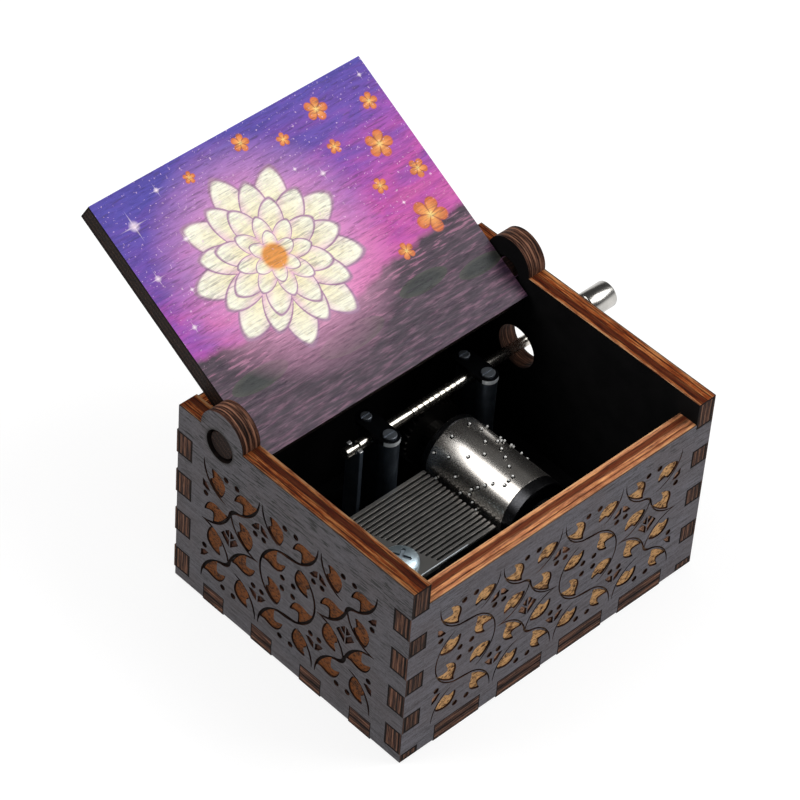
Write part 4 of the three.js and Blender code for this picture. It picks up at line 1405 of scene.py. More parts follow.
@dataclass
class Box:
    """The finger-jointed box: four walls, the base and their cut patterns."""

    half_length: float = 32.0
    half_depth: float = 25.7
    ply: float = PLY
    inner_x: float = 28.4
    front_inner: float = 22.1
    back_inner: float = 22.4
    foot: float = 0.3
    side_top: float = 37.6
    front_top: float = 33.3
    hinge: Point = HINGE
    hinge_hole: float = 2.917
    ear: Triple = (16.0, 37.9, 4.65)
    crank_hole: Triple = (*SHAFT, 3.95)
    hole_margin: float = 0.6
    side_columns: Triple = (13.48, 0.33, -12.49)
    side_rows: Triple = (30.98, 17.94, 4.9)
    lean: float = LEAN
    lid_clearance: float = 2.1
    fingers: tuple[Point, ...] = tuple((1.95 + 8.5 * i, 6.75 + 8.5 * i) for i in range(4))
    side_tabs: tuple[Point, ...] = tuple((11.15 * i - 19.125, 11.15 * i - 14.325) for i in range(4))
    long_tabs: tuple[Point, ...] = tuple((13.4 * i - 24.95, 13.4 * i - 15.25) for i in range(4))
    base_screws: tuple[Point, ...] = ((-18.8, -14.7), (19.8, -14.7), (-18.8, 15.9))
    screw_head: float = 2.7
    screw_shank: float = 1.4
    head_depth: float = 1.7
    base_scorch: float = 0.2

    def side_outlines(self, way: int) -> list[Outline]:
        """Draws a side wall in depth and height, as seen from outside.

        Args:
            way: 1 for the right wall, which the crank's shaft passes through, or -1 for the left.

        Returns:
            Its outline and holes.
        """
        y, z, radius = self.ear
        reach = math.sqrt(radius**2 - (z - self.side_top) ** 2)
        start = math.atan2(self.side_top - z, reach)
        d = self.half_depth
        points = [(-d, self.foot)] + stepped(self.side_tabs, self.foot, self.ply) + [(d, self.foot)]
        points += swapped(stepped(self.fingers, d, self.back_inner))
        points += [(d, self.side_top), (y + reach, self.side_top)]
        points += arc((y, z), radius, start, math.pi - start, 48)[1:] + [(-d, self.side_top)]
        points += swapped(stepped(self.fingers, -d, -self.front_inner))[::-1]
        outlines = [points, circle(self.hinge, self.hinge_hole)]
        if way > 0:
            outlines.append(circle(self.crank_hole[:2], self.crank_hole[2]))
        return [[(way * a, b) for a, b in outline] for outline in outlines]

    def long_outline(self, top: float) -> Outline:
        """Draws the front or back wall up to its top.

        Args:
            top: The top's height.

        Returns:
            Its outline.
        """
        x, half = self.inner_x, self.half_length
        points = [(-x, self.foot)] + stepped(self.long_tabs, self.foot, self.ply) + [(x, self.foot)]
        points += swapped(stepped(self.fingers, x, half)) + [(x, top), (-x, top)]
        return points + swapped(stepped(self.fingers, -x, -half))[::-1]

    def base_outline(self) -> Outline:
        """Draws the base with its tabs.

        Returns:
            Its outline.
        """
        x, front, back = self.inner_x, -self.front_inner, self.back_inner
        points = [(-x, front)] + stepped(self.long_tabs, front, -self.half_depth) + [(x, front)]
        points += swapped(stepped(self.side_tabs, x, self.half_length)) + [(x, back)]
        points += stepped(self.long_tabs, back, back + self.ply)[::-1] + [(-x, back)]
        return points + swapped(stepped(self.side_tabs, -x, -self.half_length))[::-1]

    def side_scroll(self, way: int) -> Scroll:
        """Lays out a side wall's pattern, as seen from outside, which on the right keeps off the crank."""
        clear = [(*self.crank_hole[:2], self.crank_hole[2] + self.hole_margin)] if way > 0 else []
        return Scroll(sorted(way * u for u in self.side_columns), [*self.side_rows], SIDE_TILES, way, clear)

    def long_scroll(self) -> Scroll:
        """Lays out the pattern of the front or back wall."""
        columns, rows = [-19.65, -6.55, 6.55, 19.65], [29.97, 17.3, 4.63]
        return Scroll(columns, rows, LONG_TILES, vine_width=0.26, swell=0.22, leaf_growth=1.1)

    def build(self) -> None:
        """Builds the four walls and the base."""
        inside = BlackInside("black_inside")
        stain = StainedFace("stain_front", (0, 0, 0), (80, 77, 84), 0.8, 0.75)
        self.build_sides(inside)
        self.build_long_walls(inside, stain)
        self.build_base(inside, stain)

    def build_sides(self, inside: Finish) -> None:
        """Builds the left and right walls.

        Args:
            inside: Finish of their inner faces.
        """
        y, z = self.hinge
        # Darker copies of the front's stain, leaf and petal tones, and near-black char in the grooves:
        # painted shade for the side walls.
        looks = (
            StainedFace("stain_side_painted_shade", (0, 0, SQUARE), (70, 67, 72), 1.0, 1.0, bore=(y, z, self.hinge_hole)),
            EngravedWood("leaf_side_painted_shade", (102, 58, 26), (48, 27, 14)),
            EngravedWood("petal_side_painted_shade", (72, 43, 30), (28, 16, 13)),
            Char("char"),
        )
        # The side walls' edges are darkened by painted shade, the left's most; their cut edges also keep
        # their burnt tone.
        for name, way, edge, cut in (("left_panel", -1, 0.44, 0.6), ("right_panel", 1, 0.64, 0.8)):
            place = frame_of(Y * way, Z, X * way, (way * self.inner_x, 0, 0))
            Panel(
                name, self.side_outlines(way), place, (way, 0, 0), self.inner_x, self.side_scroll(way),
                *looks, inside, self.side_top, (way * y, z, self.hinge_hole), edge_painted_shade=edge, cut_burn_and_painted_shade=cut,
            ).build()

    def build_long_walls(self, inside: Finish, stain: Finish) -> None:
        """Builds the front and back walls; the back one ends under the leaning lid.

        Args:
            inside: Finish of their inner faces.
            stain: Finish of their outer faces.
        """
        # The petals are darker than the leaves: painted shade in the small sunken petals.
        looks = (
            stain,
            EngravedWood("leaf_front", (188, 144, 96), (104, 68, 42)),
            EngravedWood("petal_front_painted_shade", (150, 112, 88), (78, 48, 36)),
            EngravedWood("groove_front", (112, 86, 66), (40, 28, 26)),
        )
        y, z = self.hinge
        back_top = z + (self.back_inner - y) * math.tan(self.lean) - self.lid_clearance / math.cos(self.lean)
        # The last column is painted light on the top edge, which pales the front's.
        walls = (
            ("front_panel", -1, self.front_inner, self.front_top, 0.24),
            ("back_panel", 1, self.back_inner, back_top, 0.0),
        )
        for name, way, inner, top, painted_light in walls:
            place = frame_of(X * -way, Z, Y * way, (0, way * inner, 0))
            Panel(
                name, [self.long_outline(top)], place, (0, way, 0), inner, self.long_scroll(), *looks, inside,
                top, edge_painted_light=painted_light,
            ).build()

    def build_base(self, inside: Finish, under: Finish) -> None:
        """Builds the base, its lower layer opened wider for the screw heads.

        Args:
            inside: Finish of its upper face.
            under: Finish of its underside.
        """
        cut = PlyEdge("base_cut_edge", (0, 0, 1), 0.0, self.ply, True)
        piece = Piece("base_board")

        def paint(face: Face) -> Finish:
            """Tells the base's upper face, its underside and its edges apart."""
            return inside if face.normal.z > 0.5 else under if face.normal.z < -0.5 else cut

        layers = ((self.screw_head, 0.0, self.head_depth), (self.screw_shank, self.head_depth, self.ply))
        for radius, low, high in layers:
            holes = [circle(place, radius) for place in self.base_screws]
            piece.plate([self.base_outline()], holes, low, high, Matrix(), paint)
        piece.scorch(cut, Char("char"), self.base_scorch)
        piece.done("box", "box_ply", "base_panel", smooth=20)


@dataclass
class Lid:
    """The lid on its two wooden pegs, leaning back, printed inside and engraved outside."""

    half_width: float = 27.95
    reach: float = 41.3
    tail: float = 5.4
    peg: float = 1.9
    peg_end: float = 31.6
    peg_radius: float = 2.5
    peg_cap: float = 0.35
    ply: float = PLY
    hinge: Point = HINGE
    lean: float = LEAN

    def build(self) -> None:
        """Builds the board lying in its open place."""
        w, stubs = self.half_width, [(-self.peg, self.peg)]
        stub_end = self.peg_end - self.peg_cap
        points = [(-w, -self.tail), (w, -self.tail)] + swapped(stepped(stubs, w, stub_end))
        points += [(w, self.reach), (-w, self.reach)] + swapped(stepped(stubs, -w, -stub_end))[::-1]
        away = Vector((0, math.cos(self.lean), math.sin(self.lean)))
        inward = X.cross(away)
        middle = Vector((0, *self.hinge))
        axes = [frame_of(away, inward * way, X * -way, middle - X * way * w) for way in (-1, 1)]
        scroll = Scroll([-19.05, -6.35, 6.35, 19.05], [31.0, 18.5, 6.0], LONG_TILES)
        # The petals are darker than the leaves: painted shade in the small sunken petals.
        looks = (
            StainedFace("stain_lid", (0, 0, 0), (82, 80, 86)),
            EngravedWood("leaf_lid", (190, 144, 88), (128, 84, 44)),
            EngravedWood("petal_lid_painted_shade", (150, 112, 88), (78, 48, 36)),
            Char("char"),
            PrintedBoard("lid_print"),
        )
        # The lid's edges are darkened almost to black: their burnt tone with painted shade.
        Panel(
            "lid", [points], frame_of(-X, away, -inward, middle + inward * self.ply / 2), tuple(-inward),
            middle.dot(-inward) - self.ply / 2, scroll, *looks, edge_painted_shade=0.14, cut_burn_and_painted_shade=0.14,
            pegs=[(axis, self.peg_radius, self.peg_end - w) for axis in axes],
        ).build("lid", "lid_ply")


# The movement


@dataclass
class BearingStand:
    """A cast stand for the crank's shaft, with the strap and screws that hold it down."""

    side: str
    x: float
    bed_top: float = BED_TOP
    shaft: Point = SHAFT
    bore: float = 1.25
    front_post: Point = (9.5, 1.66)
    rear_post: Point = (14.9, 1.1)
    web: float = 1.8
    web_gap: float = 0.25
    foot: float = 1.0
    foot_radius: float = 1.9
    flare: Point = (0.12, 0.4)
    chamfer: float = 0.1
    strap_low: float = 23.376
    strap_high: float = 24.176
    strap_radius: float = 1.76

    def stadium(self, radius: float) -> Outline:
        """Draws a long outline about the two posts, its ends rounded to a radius."""
        front, rear = (self.x, self.front_post[0]), (self.x, self.rear_post[0])
        return arc(rear, radius, 0, math.pi, 24) + arc(front, radius, math.pi, FULL_TURN, 24)

    def build(self) -> None:
        """Builds the stand and its strap."""
        casting = Metal("post_casting", (96, 106, 118), (58, 64, 72), 0.5, 1.0, (1, 1, 0.2), 0.2)
        stand = Piece(f"bearing_stand_{self.side}_cast")
        bed, foot_top, strap, cut = self.bed_top, self.bed_top + self.foot, self.strap_low, self.chamfer
        stand.plate([self.stadium(self.foot_radius)], [], bed, foot_top, Matrix(), casting)
        for y, radius in (self.front_post, self.rear_post):
            profile = [(0, bed), (radius + self.flare[0], foot_top), (radius, foot_top + self.flare[1])]
            profile += [(radius, strap - cut), (radius - cut, strap), (0, strap)]
            stand.turned(profile, Matrix.Translation((self.x, y, 0)), casting)
        half, web_top = self.web / 2, strap - self.web_gap
        low, high = self.front_post[0], self.rear_post[0]
        hole = circle((-self.shaft[0], self.shaft[1]), self.bore, 32)
        web = [(-high, bed), (-low, bed), (-low, web_top), (-high, web_top)]
        stand.plate([web], [hole], -half, half, frame_of(-Y, Z, -X, (self.x, 0, 0)), casting)
        stand.done("box", "casting", f"bearing_stand_{self.side}", edge=0.06)
        strip = Metal("strap_black", (40, 42, 46), (20, 21, 24), 0.36, 1.0, (0.4, 3, 1), 0.2)
        # A near-white copy of the strap's steel on the rim of its front end: a painted highlight.
        rim = Metal("strap_rim_painted_highlight", (240, 245, 248), (196, 202, 206), 0.36, 0.3, (1, 1, 3), 0.1)

        def paint(face: Face) -> Finish:
            """Gives the rounded front end's rim a painted highlight."""
            return rim if abs(face.normal.z) < 0.5 and face.normal.y < -0.2 else strip

        plate = Piece(f"strap_{self.side}_strip")
        plate.plate([self.stadium(self.strap_radius)], [], strap, self.strap_high, Matrix(), paint)
        plate.done("box", "blued_steel", f"strap_{self.side}", edge=0.14)


@dataclass
class ShaftFork:
    """A folded strip whose slot straddles the shaft's neck."""

    x: float = -7.0
    thickness: float = 0.8
    shaft: Point = SHAFT
    half_width: float = 1.6
    slot: float = 0.9
    bed_top: float = BED_TOP
    tip: float = 22.426
    # Reach below the shaft's axis of the painted highlight on the fork's top.
    bright: float = 1.2
    foot: float = 4.0

    def build(self) -> None:
        """Builds the strip standing on its foot."""
        steel = Metal("fork_steel", (84, 94, 106), (52, 60, 70), 0.6, 0.5, (1, 1, 0.3), 0.15)
        # A near-white copy of the fork's steel on its tips and slot: a painted highlight.
        tip = Metal("fork_tip_painted_highlight", (230, 232, 232), (170, 172, 174), 0.3, 0.8, (1, 1, 1), 0.15)
        y, z = self.shaft
        near, far = y - self.half_width, y + self.half_width
        floor = arc((y, z), self.slot, 0, -math.pi, 16)
        points = [(near, self.bed_top), (far, self.bed_top), (far, self.tip), (y + self.slot, self.tip)]
        points += floor + [(y - self.slot, self.tip), (near, self.tip)]
        strip = Piece("shaft_fork_strip")
        half = self.thickness / 2

        def paint(face: Face) -> Finish:
            """Gives the tips and the slot a painted highlight."""
            high = face.calc_center_median().y > z - self.bright
            return tip if high and abs(face.normal.z) < 0.5 else steel

        strip.plate([points], [], -half, half, frame_of(Y, Z, X, (self.x, 0, 0)), paint)
        heel, toe = self.x - half, self.x - half - self.foot
        foot = [(toe, near), (heel, near), (heel, far), (toe, far)]
        strip.plate([foot], [], self.bed_top, self.bed_top + self.thickness, Matrix(), steel)
        strip.done("box", "blued_steel", "shaft_fork", edge=0.1)


@dataclass
class Comb:
    """The steel comb with its thinned teeth and the two screws that hold it."""

    count: int = TEETH
    pitch: float = TOOTH_PITCH
    slit: float = 0.4
    tip_x: float = 2.65
    back_x: float = -21.55
    front_y: float = COMB_FRONT
    top: float = 15.575
    thickness: float = 1.0
    tooth: float = 0.55
    short: float = 11.85
    long: float = 17.25
    tip_cut: Point = (0.05, 0.06)
    weights: int = 6
    weight_x: Point = (3.8, 1.2)
    weight_z: Point = (2.75, 0.4)
    painted_highlight_strip: float = 0.22
    strip_start: float = 0.1
    strip_proud: Point = (0.01, 0.015)
    screws: tuple[Point, ...] = ((-13.8, -5.5), (-18.2, 2.2))
    screw_side: tuple[Point, ...] = (
        (0, -6), (1.1, -6), (1.3, -5.7), (1.3, 0), (3.0, 0), (3.0, 0.4), (2.96, 0.52), (2.6, 0.5), (0, 0.5),
    )
    dome: Triple = (0.4, 1.5, 3.05)
    dome_rings: tuple[float, ...] = (2.96, 2.7, 2.4, 2.0, 1.6, 1.2, 0.8)
    cross_arm: tuple[Point, ...] = ((0.3, 0.3), (0.34, 1.5), (0.16, 1.75), (-0.16, 1.75), (-0.34, 1.5))
    cross_turn: float = 0.5
    cross_floor: Triple = (1.9, 1.0, 1.05)

    def root(self, share: float) -> float:
        """Gives the place where a slit ends, by its share of the comb's width."""
        return self.tip_x - self.short - (self.long - self.short) * share

    def build(self) -> None:
        """Builds the comb and its screws."""
        steel = Metal("comb_steel", (54, 51, 48), (16, 15, 14), 0.3, 1.0, (0.12, 3.0, 3.0), 0.4)
        # The bevels take a lighter copy of the comb's steel: a painted highlight along the teeth's edges.
        worn = Metal("comb_edges_painted_highlight", (140, 136, 131), (46, 44, 42), 0.3, 1.0, (0.3, 3.0, 3.0), 0.3)
        # A near-white, barely metallic finish on a strip along the comb's front side: a painted highlight.
        ground = Metal("comb_side_painted_highlight", (214, 224, 230), (176, 184, 190), 0.36, 0.1, (0.2, 1.0, 2.0), 0.1)
        piece = Piece("comb_plate")
        rear_y = self.front_y + self.count * self.pitch
        tip, top, (back_cut, side_cut) = self.tip_x, self.top, self.tip_cut
        points, teeth = [(self.back_x, rear_y), (self.back_x, self.front_y)], []
        for i in range(self.count):
            start = self.front_y + i * self.pitch
            low = start if i == 0 else start + self.slit / 2
            high = start + self.pitch if i == self.count - 1 else start + self.pitch - self.slit / 2
            if i > 0:
                points.append((self.root((i - 1) / (self.count - 2)), low))
            points += [(tip - back_cut, low), (tip, low + side_cut)]
            points += [(tip, high - side_cut), (tip - back_cut, high)]
            if i < self.count - 1:
                points.append((self.root(i / (self.count - 2)), high))
            teeth.append((low, high))
        piece.plate([points], [], top - self.tooth, top, Matrix(), steel)
        # The painted highlight: a thin strip just proud of the comb's front side.
        strip, (out, up) = self.painted_highlight_strip, self.strip_proud
        low_corner = (self.back_x + self.strip_start, self.front_y - out, top - strip)
        piece.block(low_corner, (tip - self.short / 2, self.front_y + strip, top + up), ground)
        root, end = self.root(0), self.root(1)
        back = [(self.back_x, self.front_y), (root, self.front_y), (end, rear_y), (self.back_x, rear_y)]
        piece.plate([back], [], top - self.thickness, top - self.tooth, Matrix(), steel)
        (far, near), (deep, shallow) = self.weight_x, self.weight_z
        for low, high in teeth[self.count - self.weights:]:
            piece.block((tip - far, low, top - deep), (tip - near, high, top - shallow), steel)
        piece.done("box", "comb_steel", "comb", edge=0.06, rim=worn)
        for place, name in zip(self.screws, ("comb_screw_treble", "comb_screw_bass")):
            self.build_screw(place, name)

    def build_screw(self, place: Point, name: str) -> None:
        """Builds a screw with a cross recess.

        Args:
            place: Its axis.
            name: The node it stands for.
        """
        zinc = Metal("bright_zinc", (226, 242, 250), (150, 176, 192), 0.4, 1.0, (1, 1, 1), 0.5)
        # Darker copies of the zinc on the recess's walls and floor: painted shade in the recess.
        dark = Metal("recess_zinc_painted_shade", (84, 94, 102), (40, 46, 52), 0.5, 0.8)
        floor = Metal("recess_floor_painted_shade", (196, 210, 220), (120, 132, 142), 0.45, 0.7)
        screw = Piece(name + "_turned")
        at = Matrix.Translation((*place, self.top))
        screw.turned(self.screw_side, at, zinc, 48)
        cross = []
        for quarter in range(4):
            angle = self.cross_turn + quarter * SQUARE
            c, s = math.cos(angle), math.sin(angle)
            cross += [(a * c - b * s, a * s + b * c) for a, b in self.cross_arm]

        def paint(face: Face) -> Finish:
            """Tells the recess's walls, which take painted shade, from the head."""
            inner = face.calc_center_median().xy.length < 2.0 and abs(face.normal.z) < 0.4
            return dark if inner else zinc

        low, high, edge = self.dome
        rings = [circle((0, 0), ring, 48) for ring in self.dome_rings]
        screw.plate(rings, [cross], low, high, at, paint, edge)
        radius, low, high = self.cross_floor
        screw.plate([circle((0, 0), radius, 24)], [], low, high, at, floor)
        screw.done("box", "zinc_screws", name)


@dataclass
class Cylinder:
    """The pinned cylinder with its end caps, turning on the arbor."""

    x: float = 9.4
    z: float = 15.5
    radius: float = 6.0
    wall: float = 0.6
    front_y: float = -10.1
    rear_y: float = 6.9
    comb_front: float = COMB_FRONT
    pitch: float = TOOTH_PITCH
    steps: int = 40
    tracks: int = TEETH
    chamfer: float = 0.12
    pin_radius: float = 0.19
    pin_tip: Point = (0.12, 0.06)
    pin_root: float = 0.3
    pin_stand: float = 0.38
    # The painted shadow round each pin: a thin near-black ring on the barrel.
    painted_shadow_radius: Triple = (0.17, 0.36, 0.38)
    painted_shadow_rise: Point = (0.03, 0.005)
    spigot: float = 5.1
    spigot_length: float = 1.2
    bore: float = 1.3
    front_cap: float = 2.0
    front_recess: float = 0.25
    front_face: tuple[Point, ...] = ((5.4, 0.25), (5.5, 0.05), (5.6, 0), (5.88, 0), (6.0, 0.12))
    rear_face: tuple[Point, ...] = ((5.9, 0), (6.0, 0.1), (6.0, 0.9), (5.9, 1.0), (1.3, 1.0))
    # Where the rear cap's far rim takes the barrel's bright plate: a painted highlight.
    painted_highlight_rim: Point = (5.5, 0.85)

    def tracks_at(self, step: int) -> list[int]:
        """Lists the teeth that sound at one step of the tune: a melody, a second voice and a slow bass.

        Args:
            step: The step.

        Returns:
            The teeth's numbers, in order.
        """
        phase = FULL_TURN * step / self.steps
        found = {math.floor(6 + 5 * math.sin(3 * phase) * math.cos(phase) + 0.5)}
        if step % 2 == 0:
            found.add(math.floor(11 + 2.5 * math.sin(5 * phase) + 0.5))
        if step % 4 == 1:
            found.add(self.tracks - 1 - step % 3)
        return sorted(found)

    def build(self) -> None:
        """Builds the barrel with its pins, and the two caps."""
        looks = ((246, 241, 235), (224, 216, 206), 0.27, 1.0, (1.0, 0.3, 1.0), 0.012, 0.1, 0.2)
        shell = Metal("cylinder_plate", *looks)
        # Near-white, barely metallic pins are a painted glint; the near-black ring round each pin's foot is a
        # painted shadow.
        pin = Metal("pin_painted_glint", (255, 255, 252), (246, 246, 242), 0.3, 0.3, specks=0.0)
        ring = Metal("pin_painted_shadow", (14, 13, 12), (8, 8, 8), 0.7)
        at = frame_of(Z, X, Y, (self.x, 0, self.z))
        barrel = Piece("pinned_cylinder_barrel")
        outer, inner, cut = self.radius, self.radius - self.wall, self.chamfer
        barrel.turned([
            (inner, self.front_y), (outer - cut, self.front_y), (outer, self.front_y + cut),
            (outer, self.rear_y - cut), (outer - cut, self.rear_y), (inner, self.rear_y),
            (inner, self.front_y),
        ], at, shell, 120)
        foot, top, (tip, point) = outer - self.pin_root, outer + self.pin_stand, self.pin_tip
        r = self.pin_radius
        pin_side = [(0, foot), (r, foot), (r, top - point), (tip, top), (0, top)]
        (near, shoulder, far), (rise, fall) = self.painted_shadow_radius, self.painted_shadow_rise
        low, high = outer - rise, outer + rise
        painted_shadow_side = [(near, low), (far, low), (shoulder, high - fall), (near, high), (near, low)]
        for step in range(self.steps):
            turn = (step + 0.5) * FULL_TURN / self.steps
            for track in self.tracks_at(step):
                y = self.comb_front + (track + 0.5) * self.pitch
                stand = Matrix.Translation((self.x, y, self.z)) @ Matrix.Rotation(turn, 4, "Y")
                barrel.turned(pin_side, stand, pin, 10)
                barrel.turned(painted_shadow_side, stand, ring, 12)
        barrel.done("cylinder", "nickel", "pinned_cylinder")
        self.build_caps(at, shell)

    def build_caps(self, at: Matrix, bright: Finish) -> None:
        """Builds the two end caps.

        Args:
            at: The cylinder's frame.
            bright: Finish of the rear cap's rim, a painted highlight.
        """
        cap = Metal("cap_plate", (70, 70, 72), (40, 40, 42), 0.3, 1.0, (1.0, 0.5, 1.0), 0.1)
        outer, bore, spigot = self.radius, self.bore, self.spigot
        front = Piece("front_cap_turned")
        start, end, inside = self.front_y - self.front_cap, self.front_y, self.front_y + self.spigot_length
        floor = (bore, start + self.front_recess)
        face = [(radius, start + depth) for radius, depth in self.front_face]
        side = [(outer, end), (spigot, end), (spigot, inside), (bore, inside)]
        front.turned([floor, *face, *side, floor], at, cap, 96)
        front.done("cylinder", "nickel", "front_cap")

        def rim(face: Face) -> Finish:
            """Gives the far rim a painted highlight."""
            middle, (radius, level) = face.calc_center_median(), self.painted_highlight_rim
            return bright if middle.z > self.rear_y + level and middle.xy.length > radius else cap

        rear = Piece("rear_cap_turned")
        start, inside = self.rear_y, self.rear_y - self.spigot_length
        face = [(radius, start + depth) for radius, depth in self.rear_face]
        rear.turned([(bore, inside), (spigot, inside), (spigot, start), *face, (bore, inside)], at, rim, 96)
        rear.done("cylinder", "nickel", "rear_cap")


@dataclass
class Crank:
    """The bent crank with its worm, and the knob that spins on its end."""

    shaft: Point = SHAFT
    radius: float = 0.95
    tail_x: float = -9.2
    tail_chamfer: float = 0.15
    neck: Triple = (-7.7, -6.3, 0.6)
    worm: tuple[float, float, float, float] = (3.9, 14.5, 0.8, 1.0)
    worm_pitch: float = 1.194
    thread_end: float = 0.65
    thread_section: Triple = (0.2, 0.52, 0.37)
    joint: float = 0.1
    mesh_x: float = 9.4
    arm_x: float = 33.6
    bend: float = 1.5
    throw: float = 11.6
    turn: float = math.radians(127.5)
    bend_steps: int = 12
    pin_end: float = 40.9
    peen: tuple[Point, ...] = ((0, 0.4), (1.4, 0.4), (1.38, 0.15), (1.1, 0), (0, 0))
    knob: Triple = (35.4, 41.0, 2.3)
    knob_round: tuple[Point, ...] = ((0.35, 0), (0.08, 0.2), (0, 0.4))
    knob_socket: tuple[Point, ...] = ((1.75, 0), (1.72, 0.08), (1.72, 0.8), (1.25, 0.8))

    def build(self) -> None:
        """Builds the wire with its worm, then the knob."""
        nickel = Metal("shaft_nickel", (228, 223, 213), (176, 170, 158), 0.23, 1.0, (0.4, 2, 2), 0.08)
        y, z = self.shaft
        along = frame_of(Y, Z, X, (0, y, z))
        rod = Piece("crank_rod_wire")
        start, end, root, _ = self.worm
        low, high, neck = self.neck
        r, tail, cut = self.radius, self.tail_x, self.tail_chamfer
        rod.turned([
            (0, tail), (r - cut, tail), (r, tail + cut), (r, low), (neck, low), (neck, high), (r, high),
            (r, start), (root, start), (root, end + self.joint), (0, end + self.joint),
        ], along, nickel, 40)
        rod.take(self.thread(), along, nickel)
        rod.wire(self.path(), r, nickel)
        out = Vector((0, math.cos(self.turn), math.sin(self.turn)))
        pin = frame_of(Y, Z, X, Vector((0, y, z)) + out * self.throw)
        rod.turned([(radius, self.pin_end - back) for radius, back in self.peen], pin, nickel, 32)
        rod.done("crank", "nickel", "crank_rod")
        self.build_knob(pin)

    def path(self) -> list[Vector]:
        """Follows the wire from its worm through its two bends to its end.

        Returns:
            The points it follows.
        """
        out = Vector((0, math.cos(self.turn), math.sin(self.turn)))
        base, overlap, bend = Vector((0, *self.shaft)), 0.2, self.bend
        places = [(self.worm[1], 0.0), (self.arm_x - bend - overlap, 0.0)]
        turns = [SQUARE * i / self.bend_steps for i in range(self.bend_steps + 1)]
        steps = [(bend * math.sin(t), bend * math.cos(t)) for t in turns]
        places += [(self.arm_x - bend + s, bend - c) for s, c in steps]
        places += [(self.arm_x + bend - c, self.throw - bend + s) for s, c in steps]
        places.append((self.pin_end - overlap, self.throw))
        return [base + X * x + out * up for x, up in places]

    def thread(self) -> bmesh.types.BMesh:
        """Winds the worm's thread about the frame's depth axis.

        Returns:
            The thread.
        """
        part = bmesh.new()
        start, end, root, crest = self.worm
        start, end = start + self.thread_end, end - self.thread_end
        sink, wide, narrow = self.thread_section
        section = ((root - sink, -wide), (crest, -narrow), (crest, narrow), (root - sink, wide))
        turn = FULL_TURN * (start - self.mesh_x) / self.worm_pitch - SQUARE
        corners = [part.verts.new((r * math.cos(turn), r * math.sin(turn), start + h)) for r, h in section]
        face = part.faces.new(corners)
        turns = (end - start) / self.worm_pitch
        steps = round(32 * turns)
        bmesh.ops.spin(
            part, geom=[face, *face.edges, *face.verts], cent=(0, 0, 0), axis=(0, 0, 1),
            dvec=(0, 0, (end - start) / steps), angle=FULL_TURN * turns, steps=steps, use_merge=False,
        )
        return part

    def build_knob(self, place: Matrix) -> None:
        """Builds the turned knob on its pin.

        Args:
            place: The pin's frame.
        """
        looks = ((200, 197, 192), (144, 142, 139), 0.24, 1.0, (1, 0.3, 0.3), 0.06, 0.3, 0.4)
        bright = Metal("knob_metal", *looks)
        low, high, radius = self.knob
        knob = Piece("crank_knob_turned")
        lower = [(radius - inset, low + depth) for inset, depth in self.knob_round]
        upper = [(radius - inset, high - depth) for inset, depth in self.knob_round[::-1]]
        socket = [(r, high - depth) for r, depth in self.knob_socket]
        inmost = (socket[-1][0], low)
        knob.turned([inmost, *lower, *upper, *socket, inmost], place, bright, 72)
        knob.done("knob", "nickel", "crank_knob")


@dataclass
class PlainParts:
    """The small parts whose solids are already right, and their finishes."""

    def dress(self, nodes: dict) -> None:
        """Gives each part its finish.

        Args:
            nodes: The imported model's nodes by name.
        """
        casting = Metal("black_casting", (30, 31, 34), (16, 16, 18), 0.42, 0.85, (1, 1, 1), 0.3)
        zinc = Metal("small_zinc", (170, 178, 184), (110, 116, 124), 0.28, 1.0, (1, 1, 1), 0.3)
        blued = Metal("screw_blue", (150, 156, 164), (84, 90, 98), 0.45, 1.0, (1, 1, 1), 0.3)
        # Dark steel on the arbor and worm wheel: painted shade for parts deep in the box.
        wheel_painted_shade = Metal("wheel_steel_painted_shade", (58, 56, 54), (30, 29, 28), 0.4, 1.0, (1, 0.5, 1), 0.2)
        finishes = {
            casting: ("bedplate", "front_bracket", "rear_bracket"),
            zinc: (
                "front_bracket_screw", "rear_bracket_screw", "fork_screw", "movement_screw_front_left",
                "movement_screw_front_right", "movement_screw_rear_left",
            ),
            blued: [f"strap_screw_{side}_{end}" for side in ("left", "right") for end in ("front", "rear")],
            wheel_painted_shade: ("arbor", "worm_wheel"),
        }
        for finish, names in finishes.items():
            for name in names:
                for slot in nodes[name].material_slots:
                    slot.material = finish.material()
                log.info("%s keeps its solid, in %s", name, finish.name)


# The studio


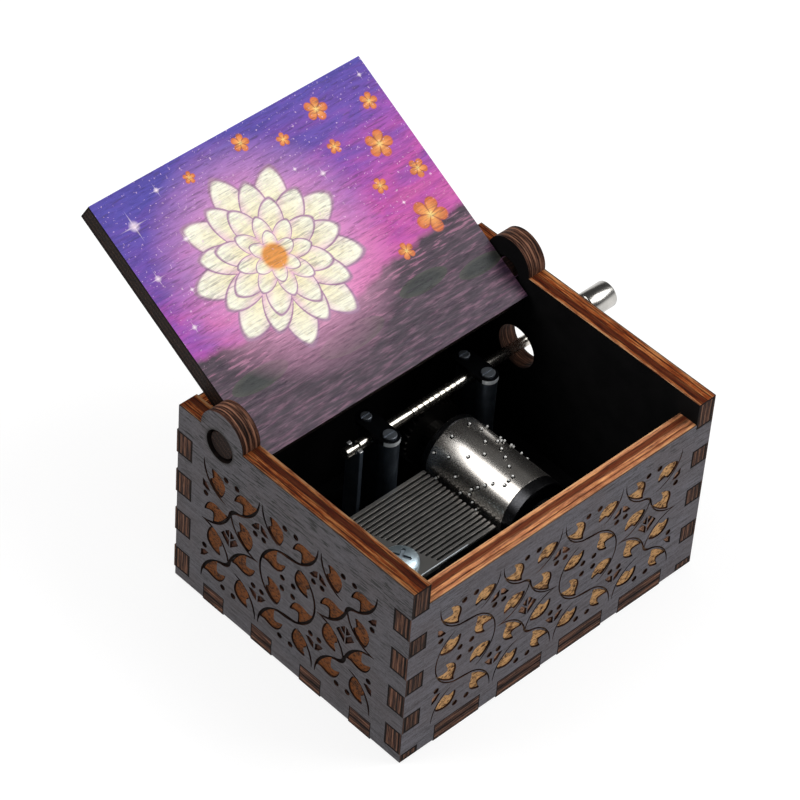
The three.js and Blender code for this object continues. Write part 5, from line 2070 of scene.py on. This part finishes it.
@dataclass
class Studio:
    """A white table, soft light and a long lens."""

    lens: float = 173.56
    sensor: float = 36.0
    place: Triple = (-309.51433316, -281.89028324, 447.37985508)
    turn: tuple[float, float, float, float] = (
        0.8602603717471383, 0.34945137995341313, -0.16704079115077097, -0.33156175886530564,
    )
    shift: Point = (0.00142, -0.00248)
    lamps: tuple[tuple[str, Triple, float, float], ...] = (
        ("rear_left", (-0.29, 0.28, 0.46), 0.42, 1.7),
        ("front_right", (0.33, -0.22, 0.5), 0.4, 2.2),
    )
    lamp_target: Triple = (0, 0, 0.02)
    sky: float = 0.4
    backdrop: Point = (0.05, 0.25)
    ceiling: float = 0.05
    table: float = 0.34
    table_glow: float = 0.74
    table_bounce: float = 0.8

    def camera(self) -> None:
        """Sets the camera where the photograph was taken."""
        data = bpy.data.cameras.new("view")
        data.lens = self.lens
        data.sensor_width = self.sensor
        data.sensor_fit = "HORIZONTAL"
        data.shift_x, data.shift_y = self.shift
        data.clip_start = 0.01
        data.clip_end = 20
        made = bpy.data.objects.new("view", data)
        made.location = Vector(self.place) * MM
        made.rotation_mode = "QUATERNION"
        made.rotation_quaternion = Quaternion(self.turn)
        bpy.context.scene.collection.objects.link(made)
        bpy.context.scene.camera = made

    def lamp(self, name: str, place: Triple, size: float, power: float) -> None:
        """Hangs a square soft lamp aimed at the box.

        Args:
            name: Its name.
            place: Where it hangs, in metres.
            size: Its width, in metres.
            power: Its power in watts.
        """
        data = bpy.data.lights.new(name, "AREA")
        data.shape = "SQUARE"
        data.size = size
        data.energy = power
        made = bpy.data.objects.new(name, data)
        made.location = place
        made.rotation_euler = (Vector(self.lamp_target) - Vector(place)).to_track_quat("-Z", "Y").to_euler()
        bpy.context.scene.collection.objects.link(made)

    def world(self) -> None:
        """Lights the scene softly, with a white backdrop that metal mirrors too, under a dark ceiling."""
        world = bpy.data.worlds.new("white_room")
        world.use_nodes = True
        tree = world.node_tree
        graph = Graph(tree)
        path = graph.node("LightPath").outputs
        _, _, height = graph.parts(graph.node("TexCoord").outputs["Generated"])
        mirrored = graph.times(path["Is Glossy Ray"], graph.span(height, *self.backdrop, 1.0, self.ceiling))
        seen = graph.most(path["Is Camera Ray"], path["Is Transmission Ray"])
        met = graph.most(seen, path["Is Glossy Ray"])
        soft = graph.times(graph.minus(1.0, met), self.sky)
        background = tree.nodes["Background"]
        background.inputs["Color"].default_value = (1, 1, 1, 1)
        strength = graph.plus(graph.most(seen, mirrored), soft)
        graph.feed(background.inputs["Strength"], strength)
        bpy.context.scene.world = world

    def floor(self) -> None:
        """Lays a white table top that keeps the box's shadow."""
        part = bmesh.new()
        bmesh.ops.create_grid(part, x_segments=1, y_segments=1, size=6.0)
        mesh = bpy.data.meshes.new("table_top")
        part.to_mesh(mesh)
        part.free()
        top = bpy.data.objects.new("table_top", mesh)
        bpy.context.scene.collection.objects.link(top)
        material = bpy.data.materials.new("table_white")
        material.use_nodes = True
        tree = material.node_tree
        tree.nodes.clear()
        graph = Graph(tree)
        path = graph.node("LightPath").outputs
        mirrored = graph.most(path["Is Glossy Ray"], path["Is Transmission Ray"])
        seen = graph.most(path["Is Camera Ray"], mirrored)
        lit = graph.node("BsdfDiffuse", {"Color": (*[self.table] * 3, 1)})
        glow = graph.node("Emission", {"Color": (1, 1, 1, 1), "Strength": self.table_glow})
        shown = graph.node("AddShader", {0: lit.outputs[0], 1: glow.outputs[0]})
        bounce = graph.node("BsdfDiffuse", {"Color": (*[self.table_bounce] * 3, 1)})
        choice = graph.node("MixShader", {0: seen, 1: bounce.outputs[0], 2: shown.outputs[0]})
        leave = tree.nodes.new("ShaderNodeOutputMaterial")
        graph.feed(leave.inputs["Surface"], choice.outputs[0])
        mesh.materials.append(material)

    def build(self) -> None:
        """Sets the camera, the light and the table."""
        self.camera()
        self.world()
        self.floor()
        for lamp in self.lamps:
            self.lamp(*lamp)
        bpy.context.scene.view_settings.view_transform = "Standard"


def main() -> None:
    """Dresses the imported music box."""
    logging.basicConfig(level=logging.INFO, format="%(name)s: %(message)s")
    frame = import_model()
    Studio().build()
    Box().build()
    Lid().build()
    for side, x in (("left", -2.5), ("right", 18.9)):
        BearingStand(side, x).build()
    ShaftFork().build()
    Comb().build()
    Cylinder().build()
    Crank().build()
    PlainParts().dress(frame["nodes"])


if __name__ == "__main__":
    main()
